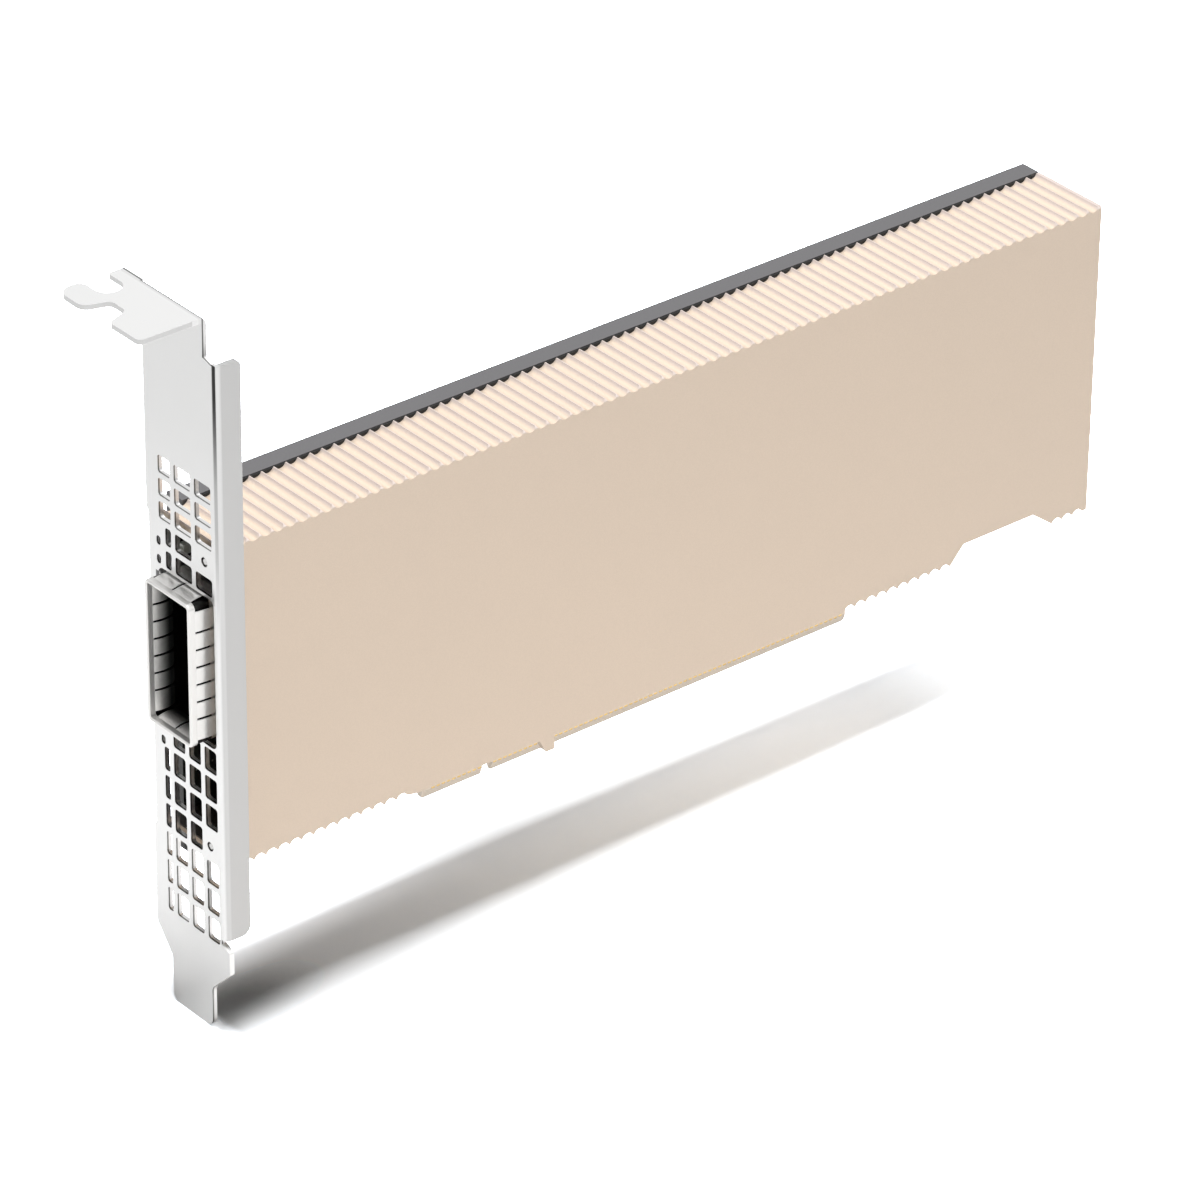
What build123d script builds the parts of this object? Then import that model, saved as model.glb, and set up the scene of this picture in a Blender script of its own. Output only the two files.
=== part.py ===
from build123d import *
import os

# Ethernet adapter card with one optical port, in a full-height slot bracket. Millimetres.
# X runs along the card, away from the bracket. Z runs up, from the contact edge to the bracket's tab.
# The component side of the board faces -Y. The origin is the middle of the key notch, at the lower
# edge of the contact tongue, on the middle plane of the board.

# Circuit board and its contact tongue
board_thickness = 1.57
board_length = 167.65
board_height = 67.1
board_corner = 1.0
key_to_board_start = 57.15
key_width = 1.9
tongue_height = 8.25
tongue_before_key = 11.65
tongue_after_key = 71.65
tongue_bevel_height = 1.3
tongue_bevel_depth = 0.45
contact_pitch = 1.0
contact_width = 0.7
contact_length = 5.2
contact_short_length = 3.6
contact_lift = 1.35
contact_thickness = 0.04
contacts_before_key = 11
contacts_after_key = 71
key_to_contact = 1.5

# Slot bracket, a folded sheet measured from the component-side edge of its tab and from the tab's top
sheet = 0.86
bend_inside = 0.34
bracket_to_board = 3.98
bracket_edge_to_board = 12.48
board_to_tab_top = 37.9
bracket_height = 120.02
tab_reach = 10.72
tab_width = 18.83
tab_screw_slot = 4.42
tab_slot_start = 2.4
tab_slot_depth = 5.13
plate_width = 14.4
plate_relief = 0.5
relief_top = 37.3
relief_bottom = 90.3
tip_start = 0.9
tip_end = 10.65
tip_length = 7.72
shoulder_drop = 4.5
shoulder_corner = 1.6
tip_corner = 1.4
shoulder_reach = 3.65
shoulder_lag = 0.7
shoulder_height = 4.7
flange_slit = 0.75
flange_start = 6.3
flange_offset = 2.9
flange_reach = 4.5
flange_top = 6.8
flange_upper_corner = 1.0
flange_lower_corner = 1.6
tab_tooth_start = 7.0
tab_tooth_end = 11.9
tab_tooth_depth = 3.82
tab_tooth_slope = 1.3
tab_lobe_reach = 0.3
tab_finger_edge = 0.5
tab_corner = 1.0
tab_tooth_corner = 0.9
tab_notch_corner = 1.2
tab_lobe_notch_corner = 1.7
tab_lobe_corner = 2.1
tab_lobe_slot_corner = 1.4
tab_finger_corner = 0.4
tab_slot_flat = 0.02
fold_leg = 0.2

# Openings of the bracket's face: cage window, vents, light slots and pin holes
window_start = -1.6
window_end = 11.8
window_top = 45.5
window_bottom = 70.6
window_corner = 1.2
vent_long = 3.95
vent_short = 2.88
vent_web = 0.94
vent_corner = 0.45
vent_limit = 11.4
upper_vent_start = 0.7
upper_vent_top = 28.3
upper_vent_rows = 5
upper_vent_columns = 3
vent_rows_beside_lights = 2
narrow_limit = 9.9
lower_vent_start = 0.06
lower_vent_top = 73.0
lower_vent_columns = 4
vent_row_beside_pin = 3
light_slot_width = 1.0
light_slot_height = 1.45
light_row = 11.6
light_drops = (41.2, 44.3, 74.9)
pin_hole_radius = 0.75
pin_radius = 0.6
pin_row = 0.55
pin_drops = (39.8, 88.0)
pin_recess = 0.15

# Two ears of the bracket lie on the board under the cage
ear_reach = 13.0
ear_height = 5.6
ear_corner = 1.0
ear_fold_leg = 0.3
ear_relief_overlap = 1.0
ear_screw_reach = 8.6
ear_drops = (49.2, 67.0)

# Optical cage with its spring collar
cage_reach = 2.8
cage_depth = 52.0
cage_inner_height = 9.9
cage_inner_width = 23.0
cage_wall = 0.3
cage_corner = 0.5
cage_centre_height = 6.64
cage_centre_drop = 58.1
collar_sheet = 0.2
collar_front = 0.25
collar_band = 0.86
inner_collar_sheet = 0.12
finger_length = 5.2
finger_bulge = 0.28
inner_finger_bulge = 0.32
finger_gap = 0.28
side_fingers = 7
side_finger_pitch = 2.9
side_finger_excess = 0.8
end_fingers = 2
end_finger_pitch = 4.5
cage_pin_width = 0.8
cage_pin_count = 5
cage_pin_start = 17.0
cage_pin_end = 7.0
cage_pin_hole = 0.55
cage_pin_through = 0.3
cage_vent_start = 10.8
cage_vent_radius = 0.9
cage_vent_pitch = 3.2
cage_vent_rows = 3
cage_vent_columns = 5
connector_to_rear = 4.0
connector_length = 12.0
connector_width = 19.5
connector_height = 10.2
connector_slot_height = 1.5
connector_slot_width = 15.4
connector_slot_depth = 8.0
connector_chamfer = 0.6
connector_clearance = 0.3
port_contact_pitch = 0.6
port_contact_width = 0.24
port_contact_thickness = 0.15
port_contact_count = 24
cage_pad_start = 20.0
cage_pad_to_rear = 6.0
cage_pad_width = 18.0

# Ribbed heat-sink cover over the component side
cover_depth = 14.4
board_to_back_plate = 0.1
cover_bottom = 13.5
cover_wall = 2.2
cover_front = 1.2
cover_to_bracket = 1.6
cover_edge_chamfer = 0.35
rib_pitch = 2.2
rib_depth = 0.7
rib_crest = 0.16
rib_end_land = 0.54
rib_overrun = 0.01
plain_edge = 13.2
key_to_first_ribs = 24.6
end_to_step_foot = 7.5
end_to_step = 11.6
step_length = 14.7
step_slope = 2.0
step_height = 16.6
second_rib_run = 22.8
tooth_shift = 0.45
tooth_width = 2.2
tooth_root = 3.6
tooth_length = 2.4
boss_radius = 2.6
boss_inset = 2.4
boss_thread_depth = 8.0
boss_from_start = 9.15
boss_from_end = 5.9
lug_length = 4.0
lug_width = 3.4
lug_depth = 3.2
lug_hole_clearance = 0.1

# Finned heat sink on the processor
cage_to_sink = 4.9
sink_to_end = 4.5
sink_bottom = 22.4
sink_to_cover = 6.4
sink_base = 3.0
fin_thickness = 0.5
fin_count = 16
fin_top_gap = 0.3
processor_x = 40.0
substrate_side = 30.0
substrate_height = 1.5
substrate_corner = 0.6
die_length = 16.0
die_width = 13.0
die_height = 0.75
compound_height = 0.3
ring_width = 3.5
ring_height = 0.6
ring_corner = 1.0
sink_screw_span_x = 38.0
sink_screw_span_z = 29.0
sink_thread_depth = 2.4

# Screws
screw_radius = 1.0
thread_clearance = 0.05
hole_clearance = 0.4
head_radius = 2.1
head_height = 1.2
driver_radius = 0.75
driver_depth = 0.6
cover_screw_bite = 5.0
ear_screw_bite = 1.2
sink_head_height = 0.9
washer_height = 0.4
washer_sheet = 0.15
washer_clearance = 0.15

# Back plate, a folded tray with a pressed seat for each screw head
back_plate_sheet = 0.8
back_plate_depth = 2.62
back_plate_start = 1.2
back_plate_bottom = 14.2
back_plate_bend = 0.5
back_lip_clearance = 0.05
gasket_thickness = 0.25
gasket_recess = 0.15
seat_radius = 3.4
seat_recess = 2.7
seat_taper = 3.0
film_thickness = 0.2
film_margin = 1.5
film_hole_clearance = 0.4

# Small parts on the board
chip_edge = 0.15
power_chip_length = 6.0
power_chip_width = 5.0
power_chip_height = 0.9
power_chip_pitch = 8.5
power_chip_offset = 26.0
power_chip_columns = 3
chip_row_offset = 10.0
inductor_side = 6.8
inductor_height = 4.0
inductor_foot = 1.6
inductor_foot_height = 0.3
inductor_pitch = 8.5
inductor_from_start = 16.15
inductor_count = 4
polymer_length = 7.3
polymer_width = 4.3
polymer_height = 2.8
polymer_pitch = 8.8
polymer_from_start = 19.55
polymer_edge = 0.3
ceramic_length = 1.6
ceramic_width = 0.8
ceramic_pitch = 3.0
ceramic_row_offset = 17.0
ceramic_columns = 9
ceramic_edge = 0.1
flash_length = 6.0
flash_width = 5.0
flash_height = 1.5
sink_to_flash = 15.0
sink_to_clock = 24.0
clock_length = 3.2
clock_width = 2.5
clock_height = 0.9
controller_from_end = 15.5
controller_side = 10.0
controller_height = 1.2
rear_part_length = 1.0
rear_part_width = 0.5
rear_part_pitch = 2.0
rear_part_columns = 5
rear_part_rows = 4
light_part_length = 1.4
light_part_width = 1.6
light_part_height = 1.2
light_part_inset = 0.2
lens_radius = 0.4
lens_length = 0.4

# Levels and places that follow from the sizes above
tab_top = board_height + board_to_tab_top
component_face = -board_thickness / 2
solder_face = board_thickness / 2
board_start = -key_to_board_start
board_end = board_start + board_length
bracket_face = board_start - bracket_to_board
bracket_edge = component_face - bracket_edge_to_board
flange_bend = sheet + bend_inside
shoulder_end = bracket_height - tip_length
shoulder_start = shoulder_end - shoulder_drop
flange_bottom = shoulder_start - shoulder_height
lower_vent_rows = int((shoulder_start - lower_vent_top) / (vent_long + vent_web))
cover_start = bracket_face + cover_to_bracket
cover_top = board_height + board_to_back_plate + back_plate_sheet
step_foot = board_end - end_to_step_foot
step_end = board_end - end_to_step
step_start = step_end - step_length
second_rib_run_end = step_start - step_slope
second_rib_run_start = second_rib_run_end - second_rib_run
first_rib_run_end = -key_to_first_ribs
cover_face = component_face - cover_depth
cover_inner_height = cover_depth - cover_front
cage_mouth = bracket_face - cage_reach
cage_middle_z = tab_top - cage_centre_drop
cage_middle_y = component_face - cage_centre_height
cage_outer_height = cage_inner_height + 2 * cage_wall
cage_outer_width = cage_inner_width + 2 * cage_wall
cage_floor_height = cage_centre_height - cage_outer_height / 2
cage_top_height = cage_centre_height + cage_outer_height / 2
cage_side_z = (cage_inner_width + cage_wall) / 2
cage_rear = cage_mouth + cage_depth
cage_pin_pitch = (cage_depth - cage_pin_start - cage_pin_end) / (cage_pin_count - 1)
cage_pin_spots = [cage_mouth + cage_pin_start + cage_pin_pitch * step for step in range(cage_pin_count)]
connector_end = cage_rear - connector_to_rear
connector_start = connector_end - connector_length
sink_start = cage_rear + cage_to_sink
sink_end = board_end - sink_to_end
sink_height = cover_top - cover_wall - sink_to_cover - sink_bottom
processor_z = sink_bottom + sink_height / 2
sink_seat_height = substrate_height + die_height + compound_height
back_face = solder_face + back_plate_depth
film_face = back_face - back_plate_sheet
screw_hole_radius = screw_radius + hole_clearance
thread_radius = screw_radius + thread_clearance
boss_high = cover_top - cover_wall - boss_inset
boss_low = cover_bottom + cover_wall + boss_inset
boss_rows = (board_start + boss_from_start, (board_start + board_end) / 2, board_end - boss_from_end)
cover_screw_spots = [(x, z) for x in boss_rows for z in (boss_high, boss_low)]
ear_screw_spots = [(bracket_face + ear_screw_reach, tab_top - drop) for drop in ear_drops]
sink_screw_spots = [
    (processor_x + side * sink_screw_span_x / 2, processor_z + end * sink_screw_span_z / 2)
    for side in (-1, 1)
    for end in (-1, 1)
]
power_chip_spots = [
    (processor_x + power_chip_offset + power_chip_pitch * step, processor_z + side * chip_row_offset)
    for step in range(power_chip_columns)
    for side in (-1, 1)
]
power_row_low = cover_bottom + cover_wall
power_row_high = cage_middle_z - cage_outer_width / 2
power_row_gap = (power_row_high - power_row_low - inductor_side - polymer_width) / 3
inductor_row = power_row_high - power_row_gap - inductor_side / 2
polymer_row = power_row_low + power_row_gap + polymer_width / 2
inductor_spots = [
    (board_start + inductor_from_start + inductor_pitch * step, inductor_row)
    for step in range(inductor_count)
]
polymer_spots = [
    (board_start + polymer_from_start + polymer_pitch * step, polymer_row)
    for step in range(inductor_count)
]
ceramic_start = processor_x - (ceramic_columns - 1) / 2 * ceramic_pitch
ceramic_spots = [
    (ceramic_start + step * ceramic_pitch, processor_z + side * ceramic_row_offset)
    for step in range(ceramic_columns)
    for side in (-1, 1)
]
flash_spots = [(sink_start + sink_to_flash, processor_z + side * chip_row_offset) for side in (-1, 1)]
clock_spot = (sink_start + sink_to_clock, processor_z)
controller_spot = (board_end - controller_from_end, processor_z)


def over_board(height=0.0):
    """Plane over the component side: sketches use X and Z, and grow away from the board."""
    return Plane(origin=(0, component_face - height, 0), x_dir=(1, 0, 0), z_dir=(0, -1, 0))


def at_depth(y):
    """Plane parallel to the board at y: sketches use X and Z, and grow towards -Y."""
    return Plane(origin=(0, y, 0), x_dir=(1, 0, 0), z_dir=(0, -1, 0))


def across(x):
    """Plane across the card at x: sketches use Y and Z, and grow along +X."""
    return Plane(origin=(x, 0, 0), x_dir=(0, 1, 0), z_dir=(1, 0, 0))


def on_bracket(x):
    """Plane of the bracket: sketches use the distance from the tab's edge and the drop as -Y."""
    return Plane(origin=(x, bracket_edge, tab_top), x_dir=(0, 1, 0), z_dir=(1, 0, 0))


def flat(points, radii=0.0):
    """Face inside a closed line through the points, each corner rounded by its radius."""
    return make_face(FilletPolyline(*points, radius=radii, close=True))


def spread(plane, spots, sketch):
    """The sketch repeated at each spot of the plane."""
    return [plane * Pos(*spot) * sketch for spot in spots]


def pillars(plane, spots, radius, length):
    """Round pillars that grow from the plane at the spots."""
    return [extrude(circle, length) for circle in spread(plane, spots, Circle(radius))]


# Circuit board


def board_outline():
    """Outline of the board with its contact tongue, and the key notch open downwards."""
    tongue_start = -key_width / 2 - tongue_before_key
    tongue_end = key_width / 2 + tongue_after_key
    points = [
        (board_start, tongue_height),
        (tongue_start, tongue_height),
        (tongue_start, 0),
        (tongue_end, 0),
        (tongue_end, tongue_height),
        (board_end, tongue_height),
        (board_end, board_height),
        (board_start, board_height),
    ]
    outside = board_corner
    inside = board_corner / 2
    return flat(points, [outside, inside, inside, inside, inside, outside, outside, outside])


def key_notch():
    """Slot with a round end that keys the tongue."""
    return Pos(0, tongue_height / 2) * SlotOverall(tongue_height + 2 * key_width, key_width, 90)


def bevel(side):
    """Wedge off the lower edge of the tongue on one face."""
    face = side * board_thickness / 2
    inner = face - side * tongue_bevel_depth
    wedge = make_face(Polyline((face, tongue_bevel_height), (inner, 0), (face, 0), close=True))
    return extrude(across(board_start) * wedge, board_length)


def circuit_board():
    """Board with its tongue, key notch, bevelled edge and holes."""
    plane = at_depth(solder_face)
    board = extrude(plane * board_outline(), board_thickness)
    notch = extrude(plane * Pos(0, -key_width) * key_notch(), board_thickness)
    screws = pillars(plane, cover_screw_spots + ear_screw_spots, screw_hole_radius, board_thickness)
    sprung = pillars(plane, sink_screw_spots, screw_hole_radius, board_thickness)
    sides = (cage_middle_z - cage_side_z, cage_middle_z + cage_side_z)
    pin_spots = [(x, z) for x in cage_pin_spots for z in sides]
    pins = pillars(plane, pin_spots, cage_pin_hole, board_thickness)
    return board - notch - bevel(1) - bevel(-1) - screws - sprung - pins


def contact_places():
    """Places of the contacts along X, before and after the key."""
    before = [-key_to_contact - contact_pitch * step for step in range(contacts_before_key)]
    after = [key_to_contact + contact_pitch * step for step in range(contacts_after_key)]
    return sorted(before + after)


def contact(x, length, plane):
    """One contact strip, with its upper end at the common line of the row."""
    top = contact_lift + contact_length
    strip = Pos(x, top - length / 2) * Rectangle(contact_width, length)
    return extrude(plane * strip, contact_thickness)


def edge_contacts():
    """Contact strips on both faces of the tongue, one of each row shorter."""
    places = contact_places()
    strips = []
    for plane, short in (
        (over_board(), places[0]),
        (at_depth(solder_face + contact_thickness), places[-2]),
    ):
        for x in places:
            length = contact_short_length if x == short else contact_length
            strips.append(contact(x, length, plane))
    return strips


# Bracket


def plate_outline():
    """Outline of the bracket's face, from the tab's bend down to the tip."""
    bend = flange_bend
    edge = bend - flange_offset
    relief = plate_width - plate_relief
    points = [
        (0, -bend),
        (0, -flange_start),
        (edge, -flange_top),
        (edge, -flange_bottom - flange_slit),
        (-shoulder_reach, -flange_bottom - 2 * flange_slit),
        (-shoulder_reach, -shoulder_start - shoulder_lag),
        (tip_start, -shoulder_end - shoulder_lag),
        (tip_start, -bracket_height),
        (tip_end, -bracket_height),
        (tip_end, -shoulder_end),
        (plate_width, -shoulder_start),
        (plate_width, -relief_bottom - plate_relief),
        (relief, -relief_bottom),
        (relief, -relief_top),
        (plate_width, -relief_top + plate_relief),
        (plate_width, -bend),
    ]
    shoulder_round = flange_slit / 2
    foot = [shoulder_corner, tip_corner, tip_corner, shoulder_corner, shoulder_corner]
    radii = [0, 0, 0, 0, shoulder_round, shoulder_round, *foot, 0, 0, 0, 0, 0]
    return flat(points, radii)


def tab_outline():
    """Outline of the tab seen from above, as reach from the bracket's face and distance from its edge."""
    slot_end = tab_slot_start + tab_screw_slot
    slot_floor = tab_width - tab_slot_depth
    slot_round = (tab_screw_slot - tab_slot_flat) / 2
    notch_floor = tab_reach - tab_tooth_depth
    lobe_reach = tab_reach + tab_lobe_reach
    far_edge = tab_width + tab_lobe_reach
    points = [
        (bend_inside, 0),
        (tab_reach, 0),
        (tab_reach, tab_tooth_start),
        (notch_floor, tab_tooth_start + tab_tooth_slope),
        (notch_floor, tab_tooth_end),
        (lobe_reach, tab_tooth_end + tab_tooth_slope),
        (lobe_reach, far_edge),
        (slot_end, far_edge),
        (slot_end, slot_floor),
        (tab_slot_start, slot_floor),
        (tab_slot_start, tab_width),
        (-tab_finger_edge, tab_width),
        (-tab_finger_edge, plate_width),
        (bend_inside, plate_width),
    ]
    tooth = [tab_corner, tab_tooth_corner, tab_notch_corner, tab_notch_corner]
    lobe = [tab_lobe_notch_corner, tab_lobe_corner, tab_lobe_slot_corner]
    radii = [0, *tooth, *lobe, slot_round, slot_round, tab_finger_corner, tab_finger_corner, 0, 0]
    return flat([(-reach, across_tab) for reach, across_tab in points], radii)


def tab_fold():
    """Bend between the tab and the bracket's face."""
    leg = bend_inside + fold_leg
    points = [
        (-leg, tab_top),
        (sheet, tab_top),
        (sheet, tab_top - sheet - leg),
        (0, tab_top - sheet - leg),
        (0, tab_top - sheet),
        (-leg, tab_top - sheet),
    ]
    section = flat(points, [0, flange_bend, 0, 0, bend_inside, 0])
    plane = Plane(origin=(bracket_face, bracket_edge + plate_width, 0), x_dir=(1, 0, 0), z_dir=(0, -1, 0))
    return extrude(plane * section, plate_width)


def side_fold(far_y, face_y, reach, bottom, height):
    """Bend from the bracket's face into a wall along X, whose outer face lies at face_y."""
    step = sheet if far_y > face_y else -sheet
    points = [
        (0, far_y),
        (0, face_y),
        (reach, face_y),
        (reach, face_y + step),
        (sheet, face_y + step),
        (sheet, far_y),
    ]
    section = flat(points, [0, flange_bend, 0, 0, bend_inside, 0])
    plane = Plane(origin=(bracket_face, 0, bottom), x_dir=(1, 0, 0), z_dir=(0, 0, 1))
    return extrude(plane * section, height)


def flange():
    """Stiffening flange along the component side, with its far corners rounded."""
    face_y = bracket_edge - flange_offset
    inner_y = face_y + flange_bend + fold_leg
    wall = side_fold(inner_y, face_y, flange_reach, tab_top - flange_bottom, flange_bottom - flange_top)
    upper = wall.edges().filter_by(Axis.Y).group_by(Axis.X)[-1].sort_by(Axis.Z)[-1]
    wall = fillet(upper, flange_upper_corner)
    lower = wall.edges().filter_by(Axis.Y).group_by(Axis.X)[-1].sort_by(Axis.Z)[0]
    return fillet(lower, flange_lower_corner)


def ear(drop):
    """Ear that lies on the board and takes a screw from behind."""
    face_y = component_face - sheet
    far_y = component_face + bend_inside + ear_fold_leg
    bottom = tab_top - drop - ear_height / 2
    wall = side_fold(far_y, face_y, ear_reach, bottom, ear_height)
    wall = fillet(wall.edges().filter_by(Axis.Y).group_by(Axis.X)[-1], ear_corner)
    spot = (bracket_face + ear_screw_reach, tab_top - drop)
    return wall - pillars(over_board(), [spot], thread_radius, sheet)


def vent(centre_row, centre_drop, width, height, limit):
    """One vent, cut short where it would pass the limit."""
    start = centre_row - width / 2
    end = min(centre_row + width / 2, limit)
    corner = min(vent_corner, (end - start) / 3)
    return Pos((start + end) / 2, -centre_drop) * RectangleRounded(end - start, height, corner)


def vents():
    """Two fields of vents: wide cells above the cage and tall ones below it."""
    cells = []
    for row in range(upper_vent_rows):
        drop = upper_vent_top + row * (vent_short + vent_web)
        beside_lights = row >= upper_vent_rows - vent_rows_beside_lights
        limit = narrow_limit if beside_lights else vent_limit
        for column in range(upper_vent_columns):
            if column == 0 and row == upper_vent_rows - vent_rows_beside_lights:
                continue
            start = upper_vent_start + column * (vent_long + vent_web)
            cells.append(vent(start, drop, vent_long, vent_short, limit))
    for row in range(lower_vent_rows):
        drop = lower_vent_top + row * (vent_long + vent_web)
        for column in range(lower_vent_columns):
            beside_light = column == lower_vent_columns - 1 and row == 0
            beside_pin = column == 0 and row == vent_row_beside_pin
            if beside_light or beside_pin:
                continue
            start = lower_vent_start + column * (vent_short + vent_web)
            cells.append(vent(start, drop, vent_short, vent_long, vent_limit))
    return cells


def face_openings():
    """Window of the cage, vents, light slots and pin holes of the bracket's face."""
    middle = (window_start + window_end) / 2
    window_drop = (window_top + window_bottom) / 2
    window = Pos(middle, -window_drop) * RectangleRounded(
        window_end - window_start, window_bottom - window_top, window_corner
    )
    ear_end = bracket_edge_to_board + bend_inside
    relief_start = window_end - ear_relief_overlap
    reliefs = [
        Pos((relief_start + ear_end) / 2, -drop) * Rectangle(ear_end - relief_start, ear_height)
        for drop in ear_drops
    ]
    slots = [
        Pos(light_row, -drop) * RectangleRounded(light_slot_width, light_slot_height, light_slot_width / 2.2)
        for drop in light_drops
    ]
    pins = [Pos(pin_row, -drop) * Circle(pin_hole_radius) for drop in pin_drops]
    return [window, *reliefs, *vents(), *slots, *pins]


def bracket():
    """Folded bracket: vented face, tab, flange and the two ears."""
    plate = extrude(on_bracket(bracket_face) * plate_outline(), sheet)
    plane = on_bracket(bracket_face)
    cuts = [extrude(plane * opening, sheet) for opening in face_openings()]
    plate = plate - cuts
    seen_from_above = Plane(origin=(bracket_face, bracket_edge, tab_top - sheet), x_dir=(1, 0, 0))
    tab = extrude(seen_from_above * tab_outline(), sheet)
    return plate + tab + tab_fold() + flange() + [ear(drop) for drop in ear_drops]


def bracket_pins():
    """Pins that place the bracket on the lugs of the cover."""
    plane = on_bracket(bracket_face + pin_recess)
    spots = [(pin_row, -drop) for drop in pin_drops]
    length = cover_to_bracket - pin_recess + lug_length / 2
    pins = pillars(plane, spots, pin_radius, length)
    return [chamfer(pin.edges().group_by(Axis.X)[0], pin_radius / 4) for pin in pins]


# Cage


def cage_profile(height, width, corner):
    """Rounded section of the cage in Y and Z about its middle."""
    return Pos(cage_middle_y, cage_middle_z) * RectangleRounded(height, width, corner)


def cage_shell():
    """Cage with a closed rear, vents, press-in pins and an opening over its connector."""
    outside = cage_profile(cage_outer_height, cage_outer_width, cage_corner)
    inside = cage_profile(cage_inner_height, cage_inner_width, cage_corner / 2)
    tube = extrude(across(cage_mouth) * (outside - inside), cage_depth)
    rear = extrude(across(cage_mouth + cage_depth - cage_wall) * inside, cage_wall)
    floor_start = connector_start - connector_clearance
    floor_length = cage_rear - cage_wall - floor_start
    floor_middle = floor_start + floor_length / 2
    floor_hole = extrude(
        over_board(cage_floor_height)
        * Pos(floor_middle, cage_middle_z)
        * Rectangle(floor_length, connector_width + 2 * connector_clearance),
        cage_wall,
    )
    return tube + rear - floor_hole - cage_vents() + cage_pins()


def cage_vents():
    """Rows of round holes in the two long walls behind the window."""
    holes = []
    start = cage_mouth + cage_vent_start
    for column in range(cage_vent_columns):
        for row in range(cage_vent_rows):
            y = cage_middle_y + (row - (cage_vent_rows - 1) / 2) * cage_vent_pitch
            x = start + column * cage_vent_pitch
            plane = Plane(origin=(x, y, cage_middle_z - cage_outer_width), z_dir=(0, 0, 1))
            holes.append(extrude(plane * Circle(cage_vent_radius), 2 * cage_outer_width))
    return holes


def cage_pins():
    """Press-in pins under both long walls."""
    length = cage_floor_height + cage_wall + board_thickness + cage_pin_through
    strip = Rectangle(cage_pin_width, cage_wall)
    plane = at_depth(solder_face + cage_pin_through)
    sides = (cage_middle_z - cage_side_z, cage_middle_z + cage_side_z)
    spots = [(x, z) for x in cage_pin_spots for z in sides]
    return [extrude(pin, length) for pin in spread(plane, spots, strip)]


def finger_section(thickness, bulge):
    """Band and bowed finger of the collar, as distance from the mouth and distance from the wall."""
    start = collar_band
    middle = collar_band + finger_length / 2
    end = collar_band + finger_length
    band = Polyline((start, 0), (-collar_front, 0), (-collar_front, thickness), (start, thickness))
    outer = ThreePointArc((start, thickness), (middle, thickness + bulge), (end, thickness))
    tip = Line((end, thickness), (end, 0))
    inner = ThreePointArc((end, 0), (middle, bulge), (start, 0))
    return make_face([band, outer, tip, inner])


def band_section(thickness):
    """Band of the collar alone, between the fingers."""
    middle = (collar_band - collar_front) / 2
    return Pos(middle, thickness / 2) * Rectangle(collar_band + collar_front, thickness)


def finger_row(centre, outward, count, pitch, excess, thickness, bulge):
    """Fingers side by side on one wall of the cage, joined by their band. The two end ones are wider."""
    plane = Plane(origin=centre, x_dir=(1, 0, 0), z_dir=Vector(1, 0, 0).cross(Vector(*outward)))
    span = count * pitch + 2 * excess
    band = extrude(plane.offset(-span / 2) * band_section(thickness), span)
    fingers = []
    for step in range(count):
        low = (step - count / 2) * pitch + finger_gap / 2
        high = low + pitch - finger_gap
        if step == 0:
            low -= excess
        if step == count - 1:
            high += excess
        section = plane.offset(low) * finger_section(thickness, bulge)
        fingers.append(extrude(section, high - low))
    return [band, *fingers]


def collar_layer(height, width, side, thickness, bulge):
    """Finger rows on all four walls, outside (side 1) or inside (side -1) the given section."""
    rows = []
    for sign in (-1, 1):
        long_wall = (cage_mouth, cage_middle_y + sign * height / 2, cage_middle_z)
        outward = (0, sign * side, 0)
        rows += finger_row(
            long_wall, outward, side_fingers, side_finger_pitch, side_finger_excess, thickness, bulge
        )
        end_wall = (cage_mouth, cage_middle_y, cage_middle_z + sign * width / 2)
        outward = (0, 0, sign * side)
        rows += finger_row(end_wall, outward, end_fingers, end_finger_pitch, 0, thickness, bulge)
    return rows


def spring_collar():
    """Collar clipped over the mouth of the cage, with fingers outside and inside."""
    front_outside = cage_profile(
        cage_outer_height + 2 * collar_sheet, cage_outer_width + 2 * collar_sheet, cage_corner + collar_sheet
    )
    front_inside = cage_profile(
        cage_inner_height - 2 * inner_collar_sheet, cage_inner_width - 2 * inner_collar_sheet, cage_corner / 2
    )
    front = extrude(across(cage_mouth - collar_front) * (front_outside - front_inside), collar_front)
    outer = collar_layer(cage_outer_height, cage_outer_width, 1, collar_sheet, finger_bulge)
    inner = collar_layer(cage_inner_height, cage_inner_width, -1, inner_collar_sheet, inner_finger_bulge)
    return front + outer + inner


def cage_connector():
    """Connector block at the rear of the cage, with the slot for the module's card edge."""
    middle = connector_start + connector_length / 2
    block = extrude(
        over_board() * Pos(middle, cage_middle_z) * Rectangle(connector_length, connector_width),
        connector_height,
    )
    block = chamfer(block.edges().filter_by(Axis.Z).group_by(Axis.X)[0], connector_chamfer)
    slot = Pos(cage_middle_y, cage_middle_z) * Rectangle(connector_slot_height, connector_slot_width)
    return block - extrude(across(connector_start) * slot, connector_slot_depth)


def port_contacts():
    """Contact blades along both faces of the connector's slot."""
    start = connector_start + 2 * connector_chamfer
    length = connector_slot_depth - 2 * connector_chamfer
    offset = (connector_slot_height - port_contact_thickness) / 2
    blades = []
    for side in (-1, 1):
        for step in range(port_contact_count):
            z = cage_middle_z + (step - (port_contact_count - 1) / 2) * port_contact_pitch
            section = Pos(cage_middle_y + side * offset, z) * Rectangle(
                port_contact_thickness, port_contact_width
            )
            blades.append(extrude(across(start) * section, length))
    return blades


def cage_thermal_pad():
    """Soft pad that fills the gap between the cage and the cover."""
    length = cage_depth - cage_pad_start - cage_pad_to_rear
    middle = cage_mouth + cage_pad_start + length / 2
    outline = Pos(middle, cage_middle_z) * RectangleRounded(length, cage_pad_width, cage_corner)
    return extrude(over_board(cage_top_height) * outline, cover_inner_height - cage_top_height)


# Cover


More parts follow.
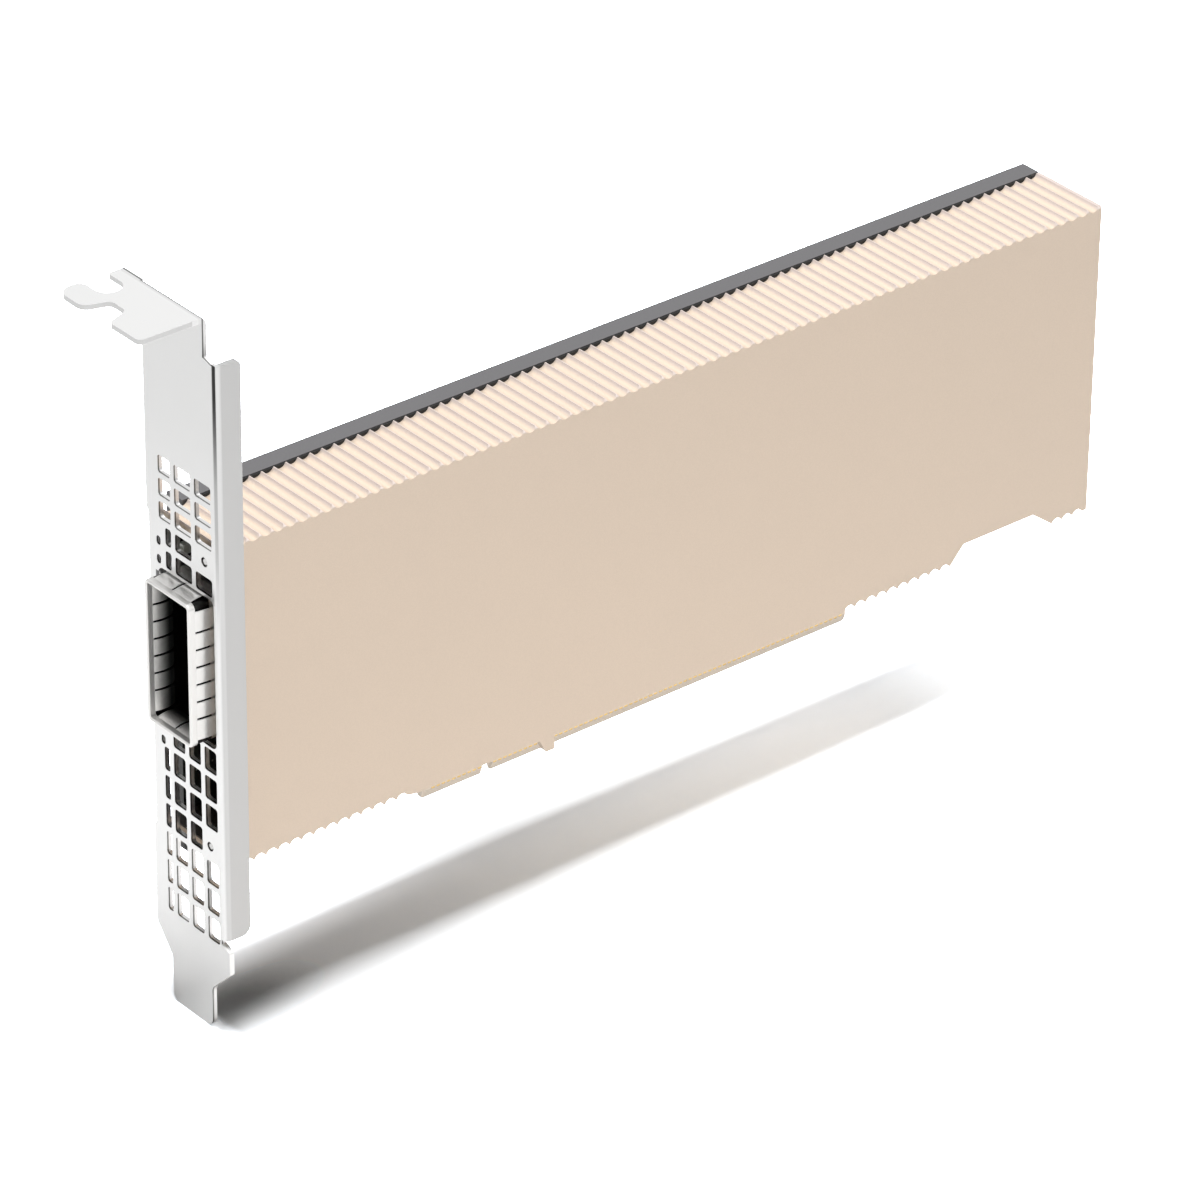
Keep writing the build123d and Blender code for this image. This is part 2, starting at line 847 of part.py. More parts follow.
def ribs(start, end, level, inward):
    """Ribs as a row of round grooves from start to end, as edges of the outline.

    As many whole ribs are drawn as fit, and the last may run over by rib_overrun of a pitch.
    """
    step = rib_pitch if end > start else -rib_pitch
    crest = rib_crest if end > start else -rib_crest
    edges = []
    x = start
    for _ in range(int(abs(end - start) / rib_pitch + rib_overrun)):
        low = level + inward * rib_depth
        edges.append(Line((x, level), (x + crest, level)))
        edges.append(ThreePointArc((x + crest, level), (x + (step + crest) / 2, low), (x + step, level)))
        x += step
    return edges, x


def cover_outline():
    """Outline of the cover in X and Z, ribbed above and below, plain over the contact tongue."""
    top, top_end = ribs(board_end - rib_end_land, cover_start, cover_top, -1)
    first, first_end = ribs(cover_start, first_rib_run_end, cover_bottom, 1)
    second, second_end = ribs(second_rib_run_start, second_rib_run_end, cover_bottom, 1)
    third, third_end = ribs(step_foot, board_end, cover_bottom, 1)
    low = [
        *first,
        Polyline(
            (first_end, cover_bottom),
            (first_rib_run_end, plain_edge),
            (second_rib_run_start, plain_edge),
            (second_rib_run_start, cover_bottom),
        ),
        *second,
        Polyline(
            (second_end, cover_bottom),
            (step_start, step_height),
            (step_end, step_height),
            (step_foot, cover_bottom),
        ),
        *third,
    ]
    right = Polyline(
        (third_end, cover_bottom),
        (board_end, cover_bottom),
        (board_end, cover_top),
        (board_end - rib_end_land, cover_top),
    )
    left = Polyline((top_end, cover_top), (cover_start, cover_top), (cover_start, cover_bottom))
    return make_face(Wire.combine([*low, right, *top, left])[0].edges())


def cover_hollow():
    """Outline of the space inside the cover, open at both ends of the card."""
    low = cover_bottom + cover_wall
    high_step = step_height + cover_wall
    points = [
        (cover_start, low),
        (step_start - 2 * cover_wall, low),
        (step_start - cover_wall / 2, high_step),
        (step_end + cover_wall / 2, high_step),
        (step_foot + cover_wall, low),
        (board_end, low),
        (board_end, cover_top - cover_wall),
        (cover_start, cover_top - cover_wall),
    ]
    return flat(points)


def cover_tooth():
    """Small tooth under the front edge, above the key notch."""
    root = plain_edge + cover_wall / 2
    points = [
        (-tooth_root / 2, root),
        (-tooth_root / 2, plain_edge),
        (-tooth_width / 4, plain_edge - tooth_length),
        (tooth_width / 2, plain_edge - tooth_length),
        (tooth_width / 2, root),
    ]
    outline = Pos(tooth_shift, 0) * flat(points, [0, 0, tooth_width / 5, tooth_width / 8, 0])
    return extrude(over_board(cover_inner_height) * outline, cover_front)


def cover_lugs():
    """Lugs behind the bracket that take its pins."""
    spots = [(cover_start + lug_length / 2, tab_top - drop) for drop in pin_drops]
    block = Rectangle(lug_length, lug_width)
    middle = bracket_edge_to_board - pin_row - lug_depth / 2
    return [extrude(part, cover_inner_height - middle) for part in spread(over_board(middle), spots, block)]


def lug_holes():
    """Blind holes of the lugs, a close fit round the pins."""
    spots = [(pin_row, -drop) for drop in pin_drops]
    depth = lug_length / 2 + lug_hole_clearance
    return pillars(on_bracket(cover_start), spots, pin_radius + thread_clearance, depth)


def front_edge_chamfer():
    """Wedge that breaks the front edge of the ribs, above."""
    cut = cover_edge_chamfer
    corners = [(cover_face, cover_top), (cover_face + cut, cover_top), (cover_face, cover_top - cut)]
    wedge = make_face(Polyline(*corners, close=True))
    return extrude(across(cover_start) * wedge, board_end - cover_start)


def heat_sink_cover():
    """Ribbed cover with its bosses, lugs and tooth."""
    shell = extrude(over_board() * cover_outline(), cover_depth)
    shell = shell - extrude(over_board() * cover_hollow(), cover_inner_height)
    bosses = pillars(over_board(), cover_screw_spots, boss_radius, cover_inner_height)
    threads = pillars(over_board(), cover_screw_spots, thread_radius, boss_thread_depth)
    return shell + bosses + cover_lugs() + cover_tooth() - threads - lug_holes() - front_edge_chamfer()


# Heat sink and processor


def sink_profile():
    """Comb of the heat sink in Y and Z: base towards the processor, fins away from it."""
    seat = component_face - sink_seat_height
    base_top = seat - sink_base
    fin_top = component_face - cover_inner_height + fin_top_gap
    base = Pos((seat + base_top) / 2, sink_bottom + sink_height / 2) * Rectangle(sink_base, sink_height)
    pitch = (sink_height - fin_thickness) / (fin_count - 1)
    fins = [
        Pos((base_top + fin_top) / 2, sink_bottom + fin_thickness / 2 + pitch * step)
        * Rectangle(base_top - fin_top, fin_thickness)
        for step in range(fin_count)
    ]
    return base + fins


def finned_heat_sink():
    """Heat sink cut from a finned profile, with the threads of its screws."""
    sink = extrude(across(sink_start) * sink_profile(), sink_end - sink_start)
    return sink - pillars(over_board(sink_seat_height), sink_screw_spots, thread_radius, sink_thread_depth)


def centred_block(length, width, height, base=0.0, corner=0.0):
    """Block over the middle of the processor, at a height over the board."""
    outline = RectangleRounded(length, width, corner) if corner else Rectangle(length, width)
    return extrude(over_board(base) * Pos(processor_x, processor_z) * outline, height)


def processor_ring():
    """Stiffening ring on the substrate, round the die."""
    inner = substrate_side - 2 * ring_width
    ring = Rectangle(substrate_side, substrate_side) - RectangleRounded(inner, inner, ring_corner)
    return extrude(over_board(substrate_height) * Pos(processor_x, processor_z) * ring, ring_height)


# Small parts


def chips(spots, length, width, height, edge=chip_edge):
    """Moulded bodies with a broken top edge at the spots."""
    parts = []
    for sketch in spread(over_board(), spots, Rectangle(length, width)):
        body = extrude(sketch, height)
        parts.append(chamfer(body.edges().group_by(Axis.Y)[0], edge))
    return parts


def power_chip_pads():
    """Pads between the power chips and the base of the heat sink."""
    pad = Rectangle(power_chip_length, power_chip_width)
    plane = over_board(power_chip_height)
    gap = sink_seat_height - power_chip_height
    return [extrude(part, gap) for part in spread(plane, power_chip_spots, pad)]


def inductors():
    """Power inductors: a pressed core with cut corners over two solder feet."""
    corner = inductor_side / 12
    offset = (inductor_side - inductor_foot) / 2 - corner
    core_outline = Rectangle(inductor_side, inductor_side)
    core_height = inductor_height - inductor_foot_height
    foot_outline = Rectangle(inductor_foot, inductor_side / 2)
    parts = []
    for x, z in inductor_spots:
        core = extrude(over_board(inductor_foot_height) * Pos(x, z) * core_outline, core_height)
        core = chamfer(core.edges().filter_by(Axis.Y), corner)
        spots = [(x + side * offset, z) for side in (-1, 1)]
        feet = [extrude(foot, inductor_foot_height) for foot in spread(over_board(), spots, foot_outline)]
        parts.append(core + feet)
    return parts


def rear_capacitors():
    """Small capacitors on the solder side, under the processor."""
    plane = at_depth(solder_face + rear_part_width)
    spots = [
        (
            processor_x + (column - (rear_part_columns - 1) / 2) * rear_part_pitch,
            processor_z + (row - (rear_part_rows - 1) / 2) * rear_part_pitch,
        )
        for column in range(rear_part_columns)
        for row in range(rear_part_rows)
    ]
    part = Rectangle(rear_part_length, rear_part_width)
    return [extrude(sketch, rear_part_width) for sketch in spread(plane, spots, part)]


def indicator_lights():
    """Lamps at the board's edge, each with a round lens towards its slot in the bracket."""
    base = Rectangle(light_part_length, light_part_width)
    lamps = []
    for drop in light_drops:
        z = tab_top - drop
        x = board_start + light_part_inset + light_part_length / 2
        body = extrude(over_board() * Pos(x, z) * base, light_part_height)
        lens_start = board_start + light_part_inset - lens_length
        lens_y = component_face - light_part_height / 2
        lens = extrude(across(lens_start) * Pos(lens_y, z) * Circle(lens_radius), lens_length)
        lamps.append(body + lens)
    return lamps


# Back plate and screws


def back_plate_profile():
    """Folded section of the back plate, whose upper lip covers the board's edge."""
    lip = component_face + gasket_thickness + back_lip_clearance
    thick = back_plate_sheet
    points = [
        (lip, cover_top),
        (back_face, cover_top),
        (back_face, back_plate_bottom),
        (solder_face, back_plate_bottom),
        (solder_face, back_plate_bottom + thick),
        (back_face - thick, back_plate_bottom + thick),
        (back_face - thick, cover_top - thick),
        (lip, cover_top - thick),
    ]
    radii = [0, back_plate_bend, back_plate_bend, 0, 0, 0, 0, 0]
    return flat(points, radii)


def seat(spot):
    """Material of one pressed screw seat, down to the board."""
    return extrude(at_depth(film_face) * Pos(*spot) * Circle(seat_radius), film_face - solder_face)


def seat_hollow(spot):
    """Recess of one screw seat, whose wall leans by the taper in degrees, and the hole in its floor."""
    plane = at_depth(back_face) * Pos(*spot)
    recess = extrude(plane * Circle(seat_recess), back_plate_depth - back_plate_sheet, taper=seat_taper)
    hole = extrude(plane * Circle(screw_hole_radius), back_plate_depth)
    return recess + hole


def back_plate():
    """Folded tray with a pressed seat for each screw."""
    start = board_start + back_plate_start
    tray = extrude(across(start) * back_plate_profile(), board_end - start)
    spots = cover_screw_spots + ear_screw_spots
    return tray + [seat(spot) for spot in spots] - [seat_hollow(spot) for spot in spots]


def edge_gasket():
    """Thin black strip on the board's upper edge, between the cover's ribs and the back plate's lip."""
    start = board_start + back_plate_start + film_margin
    end = board_end - film_margin
    height = cover_top - gasket_recess - board_height
    outline = Pos((start + end) / 2, board_height + height / 2) * Rectangle(end - start, height)
    return extrude(at_depth(component_face + gasket_thickness) * outline, gasket_thickness)


def insulating_film():
    """Film on the inner face of the back plate, cut out round the screw seats."""
    start = board_start + back_plate_start + film_margin
    low = back_plate_bottom + back_plate_sheet + film_margin
    high = cover_top - back_plate_sheet - film_margin
    length = board_end - film_margin - start
    outline = RectangleRounded(length, high - low, film_margin)
    film = extrude(at_depth(film_face) * Pos(start + length / 2, (low + high) / 2) * outline, film_thickness)
    spots = cover_screw_spots + ear_screw_spots
    return film - pillars(at_depth(film_face), spots, seat_radius + film_hole_clearance, film_thickness)


def screw(spot, seat_y, length, thickness):
    """Screw that enters from the solder side, with its head outside seat_y."""
    head = extrude(at_depth(seat_y + thickness) * Pos(*spot) * Circle(head_radius), thickness)
    head = fillet(head.edges().group_by(Axis.Y)[-1], thickness / 4)
    driver = extrude(
        at_depth(seat_y + thickness) * Pos(*spot) * RegularPolygon(driver_radius, 6), driver_depth
    )
    shank = extrude(at_depth(seat_y) * Pos(*spot) * Circle(screw_radius), length)
    return head + shank - driver


def plate_screws(spots, bite):
    """Screws in the seats of the back plate, which reach past the board by their bite."""
    seat_y = solder_face + back_plate_sheet
    length = back_plate_sheet + board_thickness + bite
    return [screw(spot, seat_y, length, head_height) for spot in spots]


def heat_sink_screws():
    """Screws that hold the heat sink through the board, each on a spring washer."""
    seat_y = solder_face + washer_height
    length = washer_height + board_thickness + sink_seat_height + sink_thread_depth / 2
    return [screw(spot, seat_y, length, sink_head_height) for spot in sink_screw_spots]


def spring_washer(spot):
    """Dished washer between a screw head and the board, which springs the heat sink down."""
    inner = screw_radius + washer_clearance
    outer = head_radius + washer_clearance
    section = make_face(
        Polyline(
            (outer, solder_face),
            (outer, solder_face + washer_sheet),
            (inner, solder_face + washer_height),
            (inner, solder_face + washer_height - washer_sheet),
            close=True,
        )
    )
    return Pos(spot[0], 0, spot[1]) * revolve(section, Axis.Y)


def processor_block():
    """Moulded substrate of the processor."""
    return centred_block(substrate_side, substrate_side, substrate_height, 0.0, substrate_corner)


nodes = {
    "circuit_board": circuit_board(),
    "edge_contacts": edge_contacts(),
    "bracket": bracket(),
    "bracket_pins": bracket_pins(),
    "bracket_screws": plate_screws(ear_screw_spots, ear_screw_bite),
    "cage_shell": cage_shell(),
    "spring_collar": spring_collar(),
    "cage_connector": cage_connector(),
    "port_contacts": port_contacts(),
    "cage_thermal_pad": cage_thermal_pad(),
    "heat_sink_cover": heat_sink_cover(),
    "cover_screws": plate_screws(cover_screw_spots, cover_screw_bite),
    "finned_heat_sink": finned_heat_sink(),
    "heat_sink_screws": heat_sink_screws(),
    "spring_washers": [spring_washer(spot) for spot in sink_screw_spots],
    "processor_substrate": processor_block(),
    "processor_die": centred_block(die_length, die_width, die_height, substrate_height),
    "processor_ring": processor_ring(),
    "thermal_compound": centred_block(die_length, die_width, compound_height, substrate_height + die_height),
    "power_chips": chips(power_chip_spots, power_chip_length, power_chip_width, power_chip_height),
    "power_chip_pads": power_chip_pads(),
    "inductors": inductors(),
    "polymer_capacitors": chips(polymer_spots, polymer_length, polymer_width, polymer_height, polymer_edge),
    "ceramic_capacitors": chips(ceramic_spots, ceramic_length, ceramic_width, ceramic_width, ceramic_edge),
    "flash_chips": chips(flash_spots, flash_length, flash_width, flash_height),
    "clock_oscillator": chips([clock_spot], clock_length, clock_width, clock_height),
    "controller_chip": chips([controller_spot], controller_side, controller_side, controller_height),
    "rear_capacitors": rear_capacitors(),
    "indicator_lights": indicator_lights(),
    "back_plate": back_plate(),
    "insulating_film": insulating_film(),
    "edge_gasket": edge_gasket(),
}


def solids(shape):
    """Every solid of a shape or of a list of shapes."""
    if isinstance(shape, (list, tuple)):
        return [solid for part in shape for solid in solids(part)]
    return list(shape.solids())


os.makedirs("parts", exist_ok=True)
for name, shape in nodes.items():
    pieces = solids(shape)
    whole = pieces[0] if len(pieces) == 1 else Compound(children=pieces)
    export_step(whole, f"parts/{name}.step")
    print(name, len(pieces), "solids", round(sum(piece.volume for piece in pieces), 2), "mm3")
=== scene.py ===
"""Studio scene of an ethernet adapter card with a ribbed heat-sink cover and a vented slot bracket."""

import logging
import math
from dataclasses import dataclass, field
from enum import Enum
from typing import Any, Iterable, Optional, Sequence, Union

import bpy
import numpy as np
from mathutils import Matrix, Vector


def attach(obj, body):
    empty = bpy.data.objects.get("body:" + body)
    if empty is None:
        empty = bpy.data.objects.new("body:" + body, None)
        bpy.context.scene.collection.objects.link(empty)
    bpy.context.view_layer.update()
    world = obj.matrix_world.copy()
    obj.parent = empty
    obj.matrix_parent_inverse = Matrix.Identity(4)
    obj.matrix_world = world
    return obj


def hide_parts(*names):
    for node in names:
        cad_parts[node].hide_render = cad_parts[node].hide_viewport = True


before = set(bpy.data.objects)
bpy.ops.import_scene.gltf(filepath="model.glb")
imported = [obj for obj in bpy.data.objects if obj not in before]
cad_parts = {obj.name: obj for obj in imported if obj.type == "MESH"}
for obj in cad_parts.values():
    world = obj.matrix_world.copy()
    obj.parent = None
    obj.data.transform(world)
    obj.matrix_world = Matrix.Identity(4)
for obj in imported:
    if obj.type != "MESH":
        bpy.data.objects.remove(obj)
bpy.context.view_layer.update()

LOG = logging.getLogger("adapter_card")
MM = 0.001
COVER_TOP = 68.0 * MM
BRACKET_FACE = -61.13 * MM
FOLD_LINE = -15.05 * MM
FLANGE_OUTSIDE = -16.5 * MM
TAB_TOP = 105.0 * MM
CAGE_MIDDLE_Y = -7.425 * MM
CAGE_MIDDLE_Z = 46.9 * MM
SHARP_ANGLE = math.radians(40.0)
QUARTER = 0.5 * math.pi
TURN = 2.0 * math.pi
FAR = 0.2

Colour = tuple[float, float, float]
Value = Union["Shade", float, int]


class Axis(Enum):
    """Direction in which the grain of a rolled sheet or the layers of a part run."""

    X = (0.04, 1.0, 1.0)
    Y = (1.0, 0.04, 1.0)
    Z = (1.0, 1.0, 0.04)
    NONE = (1.0, 1.0, 1.0)


class Shade:
    """One output of a shader node, on which Python arithmetic adds Math nodes."""

    def __init__(self, graph: "NodeGraph", socket: bpy.types.NodeSocket) -> None:
        """Wraps a socket.

        Args:
            graph: The graph that the socket belongs to.
            socket: The output socket.
        """
        self.graph = graph
        self.socket = socket

    def math(self, operation: str, *others: Value) -> "Shade":
        """Adds one Math node with this value as its first input.

        Args:
            operation: The operation of the Math node.
            others: The further inputs.

        Returns:
            The result of the node.
        """
        inputs = dict(enumerate((self, *others)))
        return self.graph.node("ShaderNodeMath", {"operation": operation}, inputs)

    def __add__(self, other: Value) -> "Shade":
        """This value plus another."""
        return self.math("ADD", other)

    __radd__ = __add__

    def __sub__(self, other: Value) -> "Shade":
        """This value less another."""
        return self.math("SUBTRACT", other)

    def __mul__(self, other: Value) -> "Shade":
        """This value times another."""
        return self.math("MULTIPLY", other)

    __rmul__ = __mul__

    def __truediv__(self, other: Value) -> "Shade":
        """This value over another."""
        return self.math("DIVIDE", other)

    def __pow__(self, other: Value) -> "Shade":
        """This value to a power."""
        return self.math("POWER", other)

    def step(self, low: float, high: float) -> "Shade":
        """A smooth rise from 0 at low to 1 at high.

        Args:
            low: The value at which the rise starts.
            high: The value at which the rise ends.

        Returns:
            The eased value.
        """
        settings = {"interpolation_type": "SMOOTHSTEP"}
        inputs = {"Value": self, "From Min": low, "From Max": high}
        return self.graph.node("ShaderNodeMapRange", settings, inputs)


class NodeGraph:
    """The nodes of a material or of the world."""

    def __init__(self, owner: Union[bpy.types.Material, bpy.types.World]) -> None:
        """Clears the nodes of their owner.

        Args:
            owner: The material or the world.
        """
        owner.use_nodes = True
        self.tree = owner.node_tree
        self.tree.nodes.clear()

    def feed(self, socket: bpy.types.NodeSocket, value: Any) -> None:
        """Sets a socket to a number or colour, or links it.

        Args:
            socket: The input socket.
            value: A number, a colour or a Shade.
        """
        if isinstance(value, Shade):
            self.tree.links.new(value.socket, socket)
        elif isinstance(value, tuple) and len(value) == 3 and socket.type == "RGBA":
            socket.default_value = (*value, 1.0)
        else:
            socket.default_value = value

    def node(self, kind: str, settings: dict[str, Any], inputs: dict[Any, Any], output: Any = 0) -> Shade:
        """Adds any node.

        Args:
            kind: The type of the node.
            settings: Its own settings, set before its inputs.
            inputs: Its inputs by name or number.
            output: The output that is returned, by name or number.

        Returns:
            That output.
        """
        made = self.tree.nodes.new(kind)
        for key, value in settings.items():
            setattr(made, key, value)
        for key, value in inputs.items():
            self.feed(made.inputs[key], value)
        return Shade(self, made.outputs[output])


class ShaderGraph(NodeGraph):
    """The nodes of one material, round one Principled shader."""

    def __init__(self, name: str) -> None:
        """Starts a material.

        Args:
            name: The name of the material.
        """
        self.material = bpy.data.materials.new(name)
        super().__init__(self.material)
        self.shader = self.tree.nodes.new("ShaderNodeBsdfPrincipled")
        self.output = self.tree.nodes.new("ShaderNodeOutputMaterial")
        self.tree.links.new(self.shader.outputs["BSDF"], self.output.inputs["Surface"])
        self.place = self.node("ShaderNodeTexCoord", {}, {}, "Object")

    def noise(
        self, size: float, detail: float = 3.0, grain: Axis = Axis.NONE, offset: float = 0.0
    ) -> Shade:
        """Soft noise from 0 to 1.

        Args:
            size: The size of its blotches in metres.
            detail: How many finer layers it has.
            grain: The axis along which it is drawn out.
            offset: A shift that makes two noises of one size differ.

        Returns:
            The noise.
        """
        place = self.node("ShaderNodeMapping", {}, {"Vector": self.place, "Scale": grain.value})
        inputs = {"Vector": place, "Scale": 1.0 / size, "Detail": detail, "W": offset}
        return self.node("ShaderNodeTexNoise", {"noise_dimensions": "4D"}, inputs)

    def cells(self, size: float) -> Shade:
        """Distance to the nearest of scattered points, in units of size.

        Args:
            size: The spacing of the points in metres.

        Returns:
            The distance.
        """
        inputs = {"Vector": self.place, "Scale": 1.0 / size}
        return self.node("ShaderNodeTexVoronoi", {"feature": "F1"}, inputs, "Distance")

    def mix(self, factor: Value, first: Any, second: Any) -> Shade:
        """Blends two colours.

        Args:
            factor: 0 for the first colour, 1 for the second.
            first: A colour.
            second: A colour.

        Returns:
            The blend.
        """
        return self.node("ShaderNodeMix", {"data_type": "RGBA"}, {0: factor, 6: first, 7: second}, 2)

    def axis(self, name: str) -> Shade:
        """One of the Object coordinates, in metres."""
        return self.node("ShaderNodeSeparateXYZ", {}, {0: self.place}, name)

    def within(self, zone: "ShadeZone") -> Shade:
        """How far a point is inside a zone: 1 inside, 0 outside, with soft borders.

        Args:
            zone: The zone.

        Returns:
            The product of a rise and a fall along each axis.
        """
        parts = zip("XYZ", (zone.x, zone.y, zone.z), zone.borders)
        spans = [(self.axis(name), span, border) for name, span, border in parts if span is not None]
        rises = [place.step(low, low + border) for place, (low, _), border in spans]
        falls = [place.step(high + border, high) for place, (_, high), border in spans]
        return math.prod(rises + falls)

    def bump(self, height: Value, depth: float) -> Shade:
        """A normal that follows a height.

        Args:
            height: The height, from 0 to 1.
            depth: The depth of the relief in metres.

        Returns:
            The normal.
        """
        return self.node("ShaderNodeBump", {}, {"Height": height, "Distance": depth, "Strength": 1.0})

    def set(self, **values: Any) -> None:
        """Sets sockets of the Principled shader, with _ for each space of their names."""
        for key, value in values.items():
            self.feed(self.shader.inputs[key.replace("_", " ")], value)


def tint(colour: Colour, factor: float) -> Colour:
    """A colour with each part times a factor, kept within 0 and 1."""
    return tuple(min(1.0, part * factor) for part in colour)


@dataclass(frozen=True)
class ShadeZone:
    """A box of space, open where an axis has no span, in which a tone falls to a share of itself: a painted
    shade.
    """

    share: float
    x: Optional[tuple[float, float]] = None
    y: Optional[tuple[float, float]] = None
    z: Optional[tuple[float, float]] = None
    borders: tuple[float, float, float] = (0.0002, 0.0002, 0.0002)


@dataclass(frozen=True)
class Finish:
    """What every finish has: a name, a colour and a roughness."""

    name: str
    colour: Colour
    roughness: float

    def material(self) -> bpy.types.Material:
        """The finish as a Blender material."""
        graph = ShaderGraph(self.name)
        self.paint(graph)
        return graph.material

    def paint(self, graph: ShaderGraph) -> None:
        """Sets the sockets of the shader: here a plain colour, and more in each kind of finish.

        Args:
            graph: The graph of the material.
        """
        graph.set(Base_Color=self.colour, Roughness=self.roughness)


@dataclass(frozen=True)
class RolledSheet(Finish):
    """Plated sheet metal with fine rolling lines, faint clouds and a few light scuffs."""

    grain: Axis = Axis.Z
    metallic: float = 1.0
    line: float = 0.00012
    line_depth: float = 0.000001
    cloud: float = 0.012
    shade_zones: tuple[ShadeZone, ...] = ()

    def paint(self, graph: ShaderGraph) -> None:
        """Lines drawn out along the grain give the bump, and clouds vary tone and gloss.

        In each shade zone the tone falls to the zone's share of itself: a painted shade.

        Args:
            graph: The graph of the material.
        """
        lines = graph.noise(self.line, 2.0, self.grain)
        clouds = graph.noise(self.cloud, 3.0, Axis.NONE, 2.0)
        scuffs = graph.noise(0.0011, 4.0, self.grain, 5.0).step(0.66, 0.78)
        tone = graph.mix(clouds, tint(self.colour, 0.97), tint(self.colour, 1.02))
        tone = graph.mix(lines.step(0.35, 0.65) * 0.12, tone, tint(self.colour, 0.92))
        rough = clouds * 0.06 + lines * 0.04 + scuffs * 0.08 + (self.roughness - 0.05)
        # Painted shade: the tone falls to a share of itself in each shade zone.
        for zone in self.shade_zones:
            tone = graph.mix(graph.within(zone), tone, tint(self.colour, zone.share))
        graph.set(
            Base_Color=tone,
            Roughness=rough,
            Metallic=self.metallic,
            Normal=graph.bump(lines, self.line_depth),
        )


@dataclass(frozen=True)
class BlastedMetal(Finish):
    """Bead-blasted and plated metal: a fine even pebble grain that glints softly."""

    metallic: float = 0.5
    pebble: float = 0.00022
    pebble_depth: float = 0.000012
    cloud: float = 0.03
    # Colour of a painted sheen on the top faces of the ribs.
    crown: Optional[Colour] = None
    sheen_level: float = 0.0
    shade_zones: tuple[ShadeZone, ...] = ()

    def paint(self, graph: ShaderGraph) -> None:
        """Two sizes of pebble give the bump and a slight change of tone.

        Above sheen_level the tone turns to the crown colour, a painted whitish sheen on the rib crests that
        face the key lamp.

        Args:
            graph: The graph of the material.
        """
        pebbles = graph.cells(self.pebble)
        fine = graph.noise(self.pebble * 0.6, 2.0)
        clouds = graph.noise(self.cloud, 2.0, Axis.NONE, 1.0)
        tone = graph.mix(clouds, tint(self.colour, 0.975), tint(self.colour, 1.02))
        if self.crown is not None:
            # Painted sheen: above sheen_level the tone turns to the crown colour.
            crown_factor = graph.axis("Z").step(self.sheen_level, self.sheen_level + 0.4 * MM)
            tone = graph.mix(crown_factor, tone, self.crown)
        tone = graph.mix(pebbles.step(0.25, 0.7) * 0.18, tone, tint(self.colour, 0.86))
        # Painted shade: the tone falls to a share of itself in each shade zone.
        for zone in self.shade_zones:
            tone = graph.mix(graph.within(zone), tone, tint(self.colour, zone.share))
        rough = fine * 0.10 + clouds * 0.05 + (self.roughness - 0.07)
        graph.set(
            Base_Color=tone,
            Roughness=rough,
            Metallic=self.metallic,
            Normal=graph.bump(pebbles * 0.7 + fine * 0.3, self.pebble_depth),
        )


@dataclass(frozen=True)
class Laminate(Finish):
    """Glass-fibre board under solder mask, with woven cloth and plated via holes."""

    copper: Colour = (0.05, 0.16, 0.09)
    weave: float = 0.0008
    via: float = 0.0021
    bare: Optional[Colour] = None
    bare_level: float = 0.0

    def paint(self, graph: ShaderGraph) -> None:
        """The weave is the product of two waves, and vias are dots on scattered points, with a painted
        shade in each hole.

        Below bare_level the mask ends and the bare laminate shows.

        Args:
            graph: The graph of the material.
        """
        wave = TURN / self.weave
        warp = (graph.axis("X") * wave).math("SINE")
        weft = (graph.axis("Z") * wave).math("SINE")
        cloth = warp * weft * 0.5 + 0.5
        planes = graph.noise(0.009, 1.0).step(0.47, 0.50)
        tone = graph.mix(planes, self.colour, self.copper)
        dots = graph.cells(self.via)
        ring = dots.step(0.16, 0.12)
        tone = graph.mix(ring * 0.6, tone, (0.45, 0.42, 0.36))
        # Painted shade in the bore of each via hole.
        via_hole_shade = dots.step(0.09, 0.05)
        tone = graph.mix(via_hole_shade, tone, (0.01, 0.015, 0.01))
        if self.bare is not None:
            mask = graph.axis("Z").step(self.bare_level - 0.1 * MM, self.bare_level)
            tone = graph.mix(mask, graph.mix(cloth, tint(self.bare, 0.93), self.bare), tone)
        graph.set(
            Base_Color=tone,
            Roughness=cloth * 0.08 + (self.roughness - 0.04),
            Normal=graph.bump(cloth * 0.3 + planes * 0.7, 0.00001),
        )


@dataclass(frozen=True)
class MouldedBody(Finish):
    """Moulded plastic or moulding compound with a fine spark-eroded grain."""

    grain: float = 0.00018
    grain_depth: float = 0.000008

    def paint(self, graph: ShaderGraph) -> None:
        """Fine noise gives the grain, and broad noise a faint change of gloss.

        Args:
            graph: The graph of the material.
        """
        grain = graph.noise(self.grain, 3.0)
        clouds = graph.noise(0.004, 2.0, Axis.NONE, 3.0)
        tone = graph.mix(grain, tint(self.colour, 0.85), tint(self.colour, 1.25))
        graph.set(
            Base_Color=tone,
            Roughness=clouds * 0.12 + (self.roughness - 0.06),
            Normal=graph.bump(grain, self.grain_depth),
        )


@dataclass(frozen=True)
class FiredCeramic(Finish):
    """Ceramic or pressed powder, speckled with lighter grains."""

    speck: float = 0.00025
    speck_colour: Colour = (0.35, 0.33, 0.30)

    def paint(self, graph: ShaderGraph) -> None:
        """Specks are the middles of small cells.

        Args:
            graph: The graph of the material.
        """
        specks = graph.cells(self.speck)
        tone = graph.mix(specks.step(0.30, 0.12) * 0.5, self.colour, self.speck_colour)
        graph.set(
            Base_Color=tone,
            Roughness=specks * 0.15 + (self.roughness - 0.05),
            Normal=graph.bump(specks, 0.000006),
        )


@dataclass(frozen=True)
class GoldPlate(Finish):
    """Hard gold on copper, with short wiping marks across the contacts."""

    def paint(self, graph: ShaderGraph) -> None:
        """Marks drawn out along Z vary the roughness and tone.

        Args:
            graph: The graph of the material.
        """
        marks = graph.noise(0.00025, 3.0, Axis.Z, 1.0)
        clouds = graph.noise(0.003, 2.0, Axis.NONE, 4.0)
        tone = graph.mix(clouds, tint(self.colour, 0.93), tint(self.colour, 1.05))
        graph.set(
            Base_Color=tone,
            Roughness=marks * 0.14 + (self.roughness - 0.07),
            Metallic=1.0,
            Normal=graph.bump(marks, 0.000003),
        )


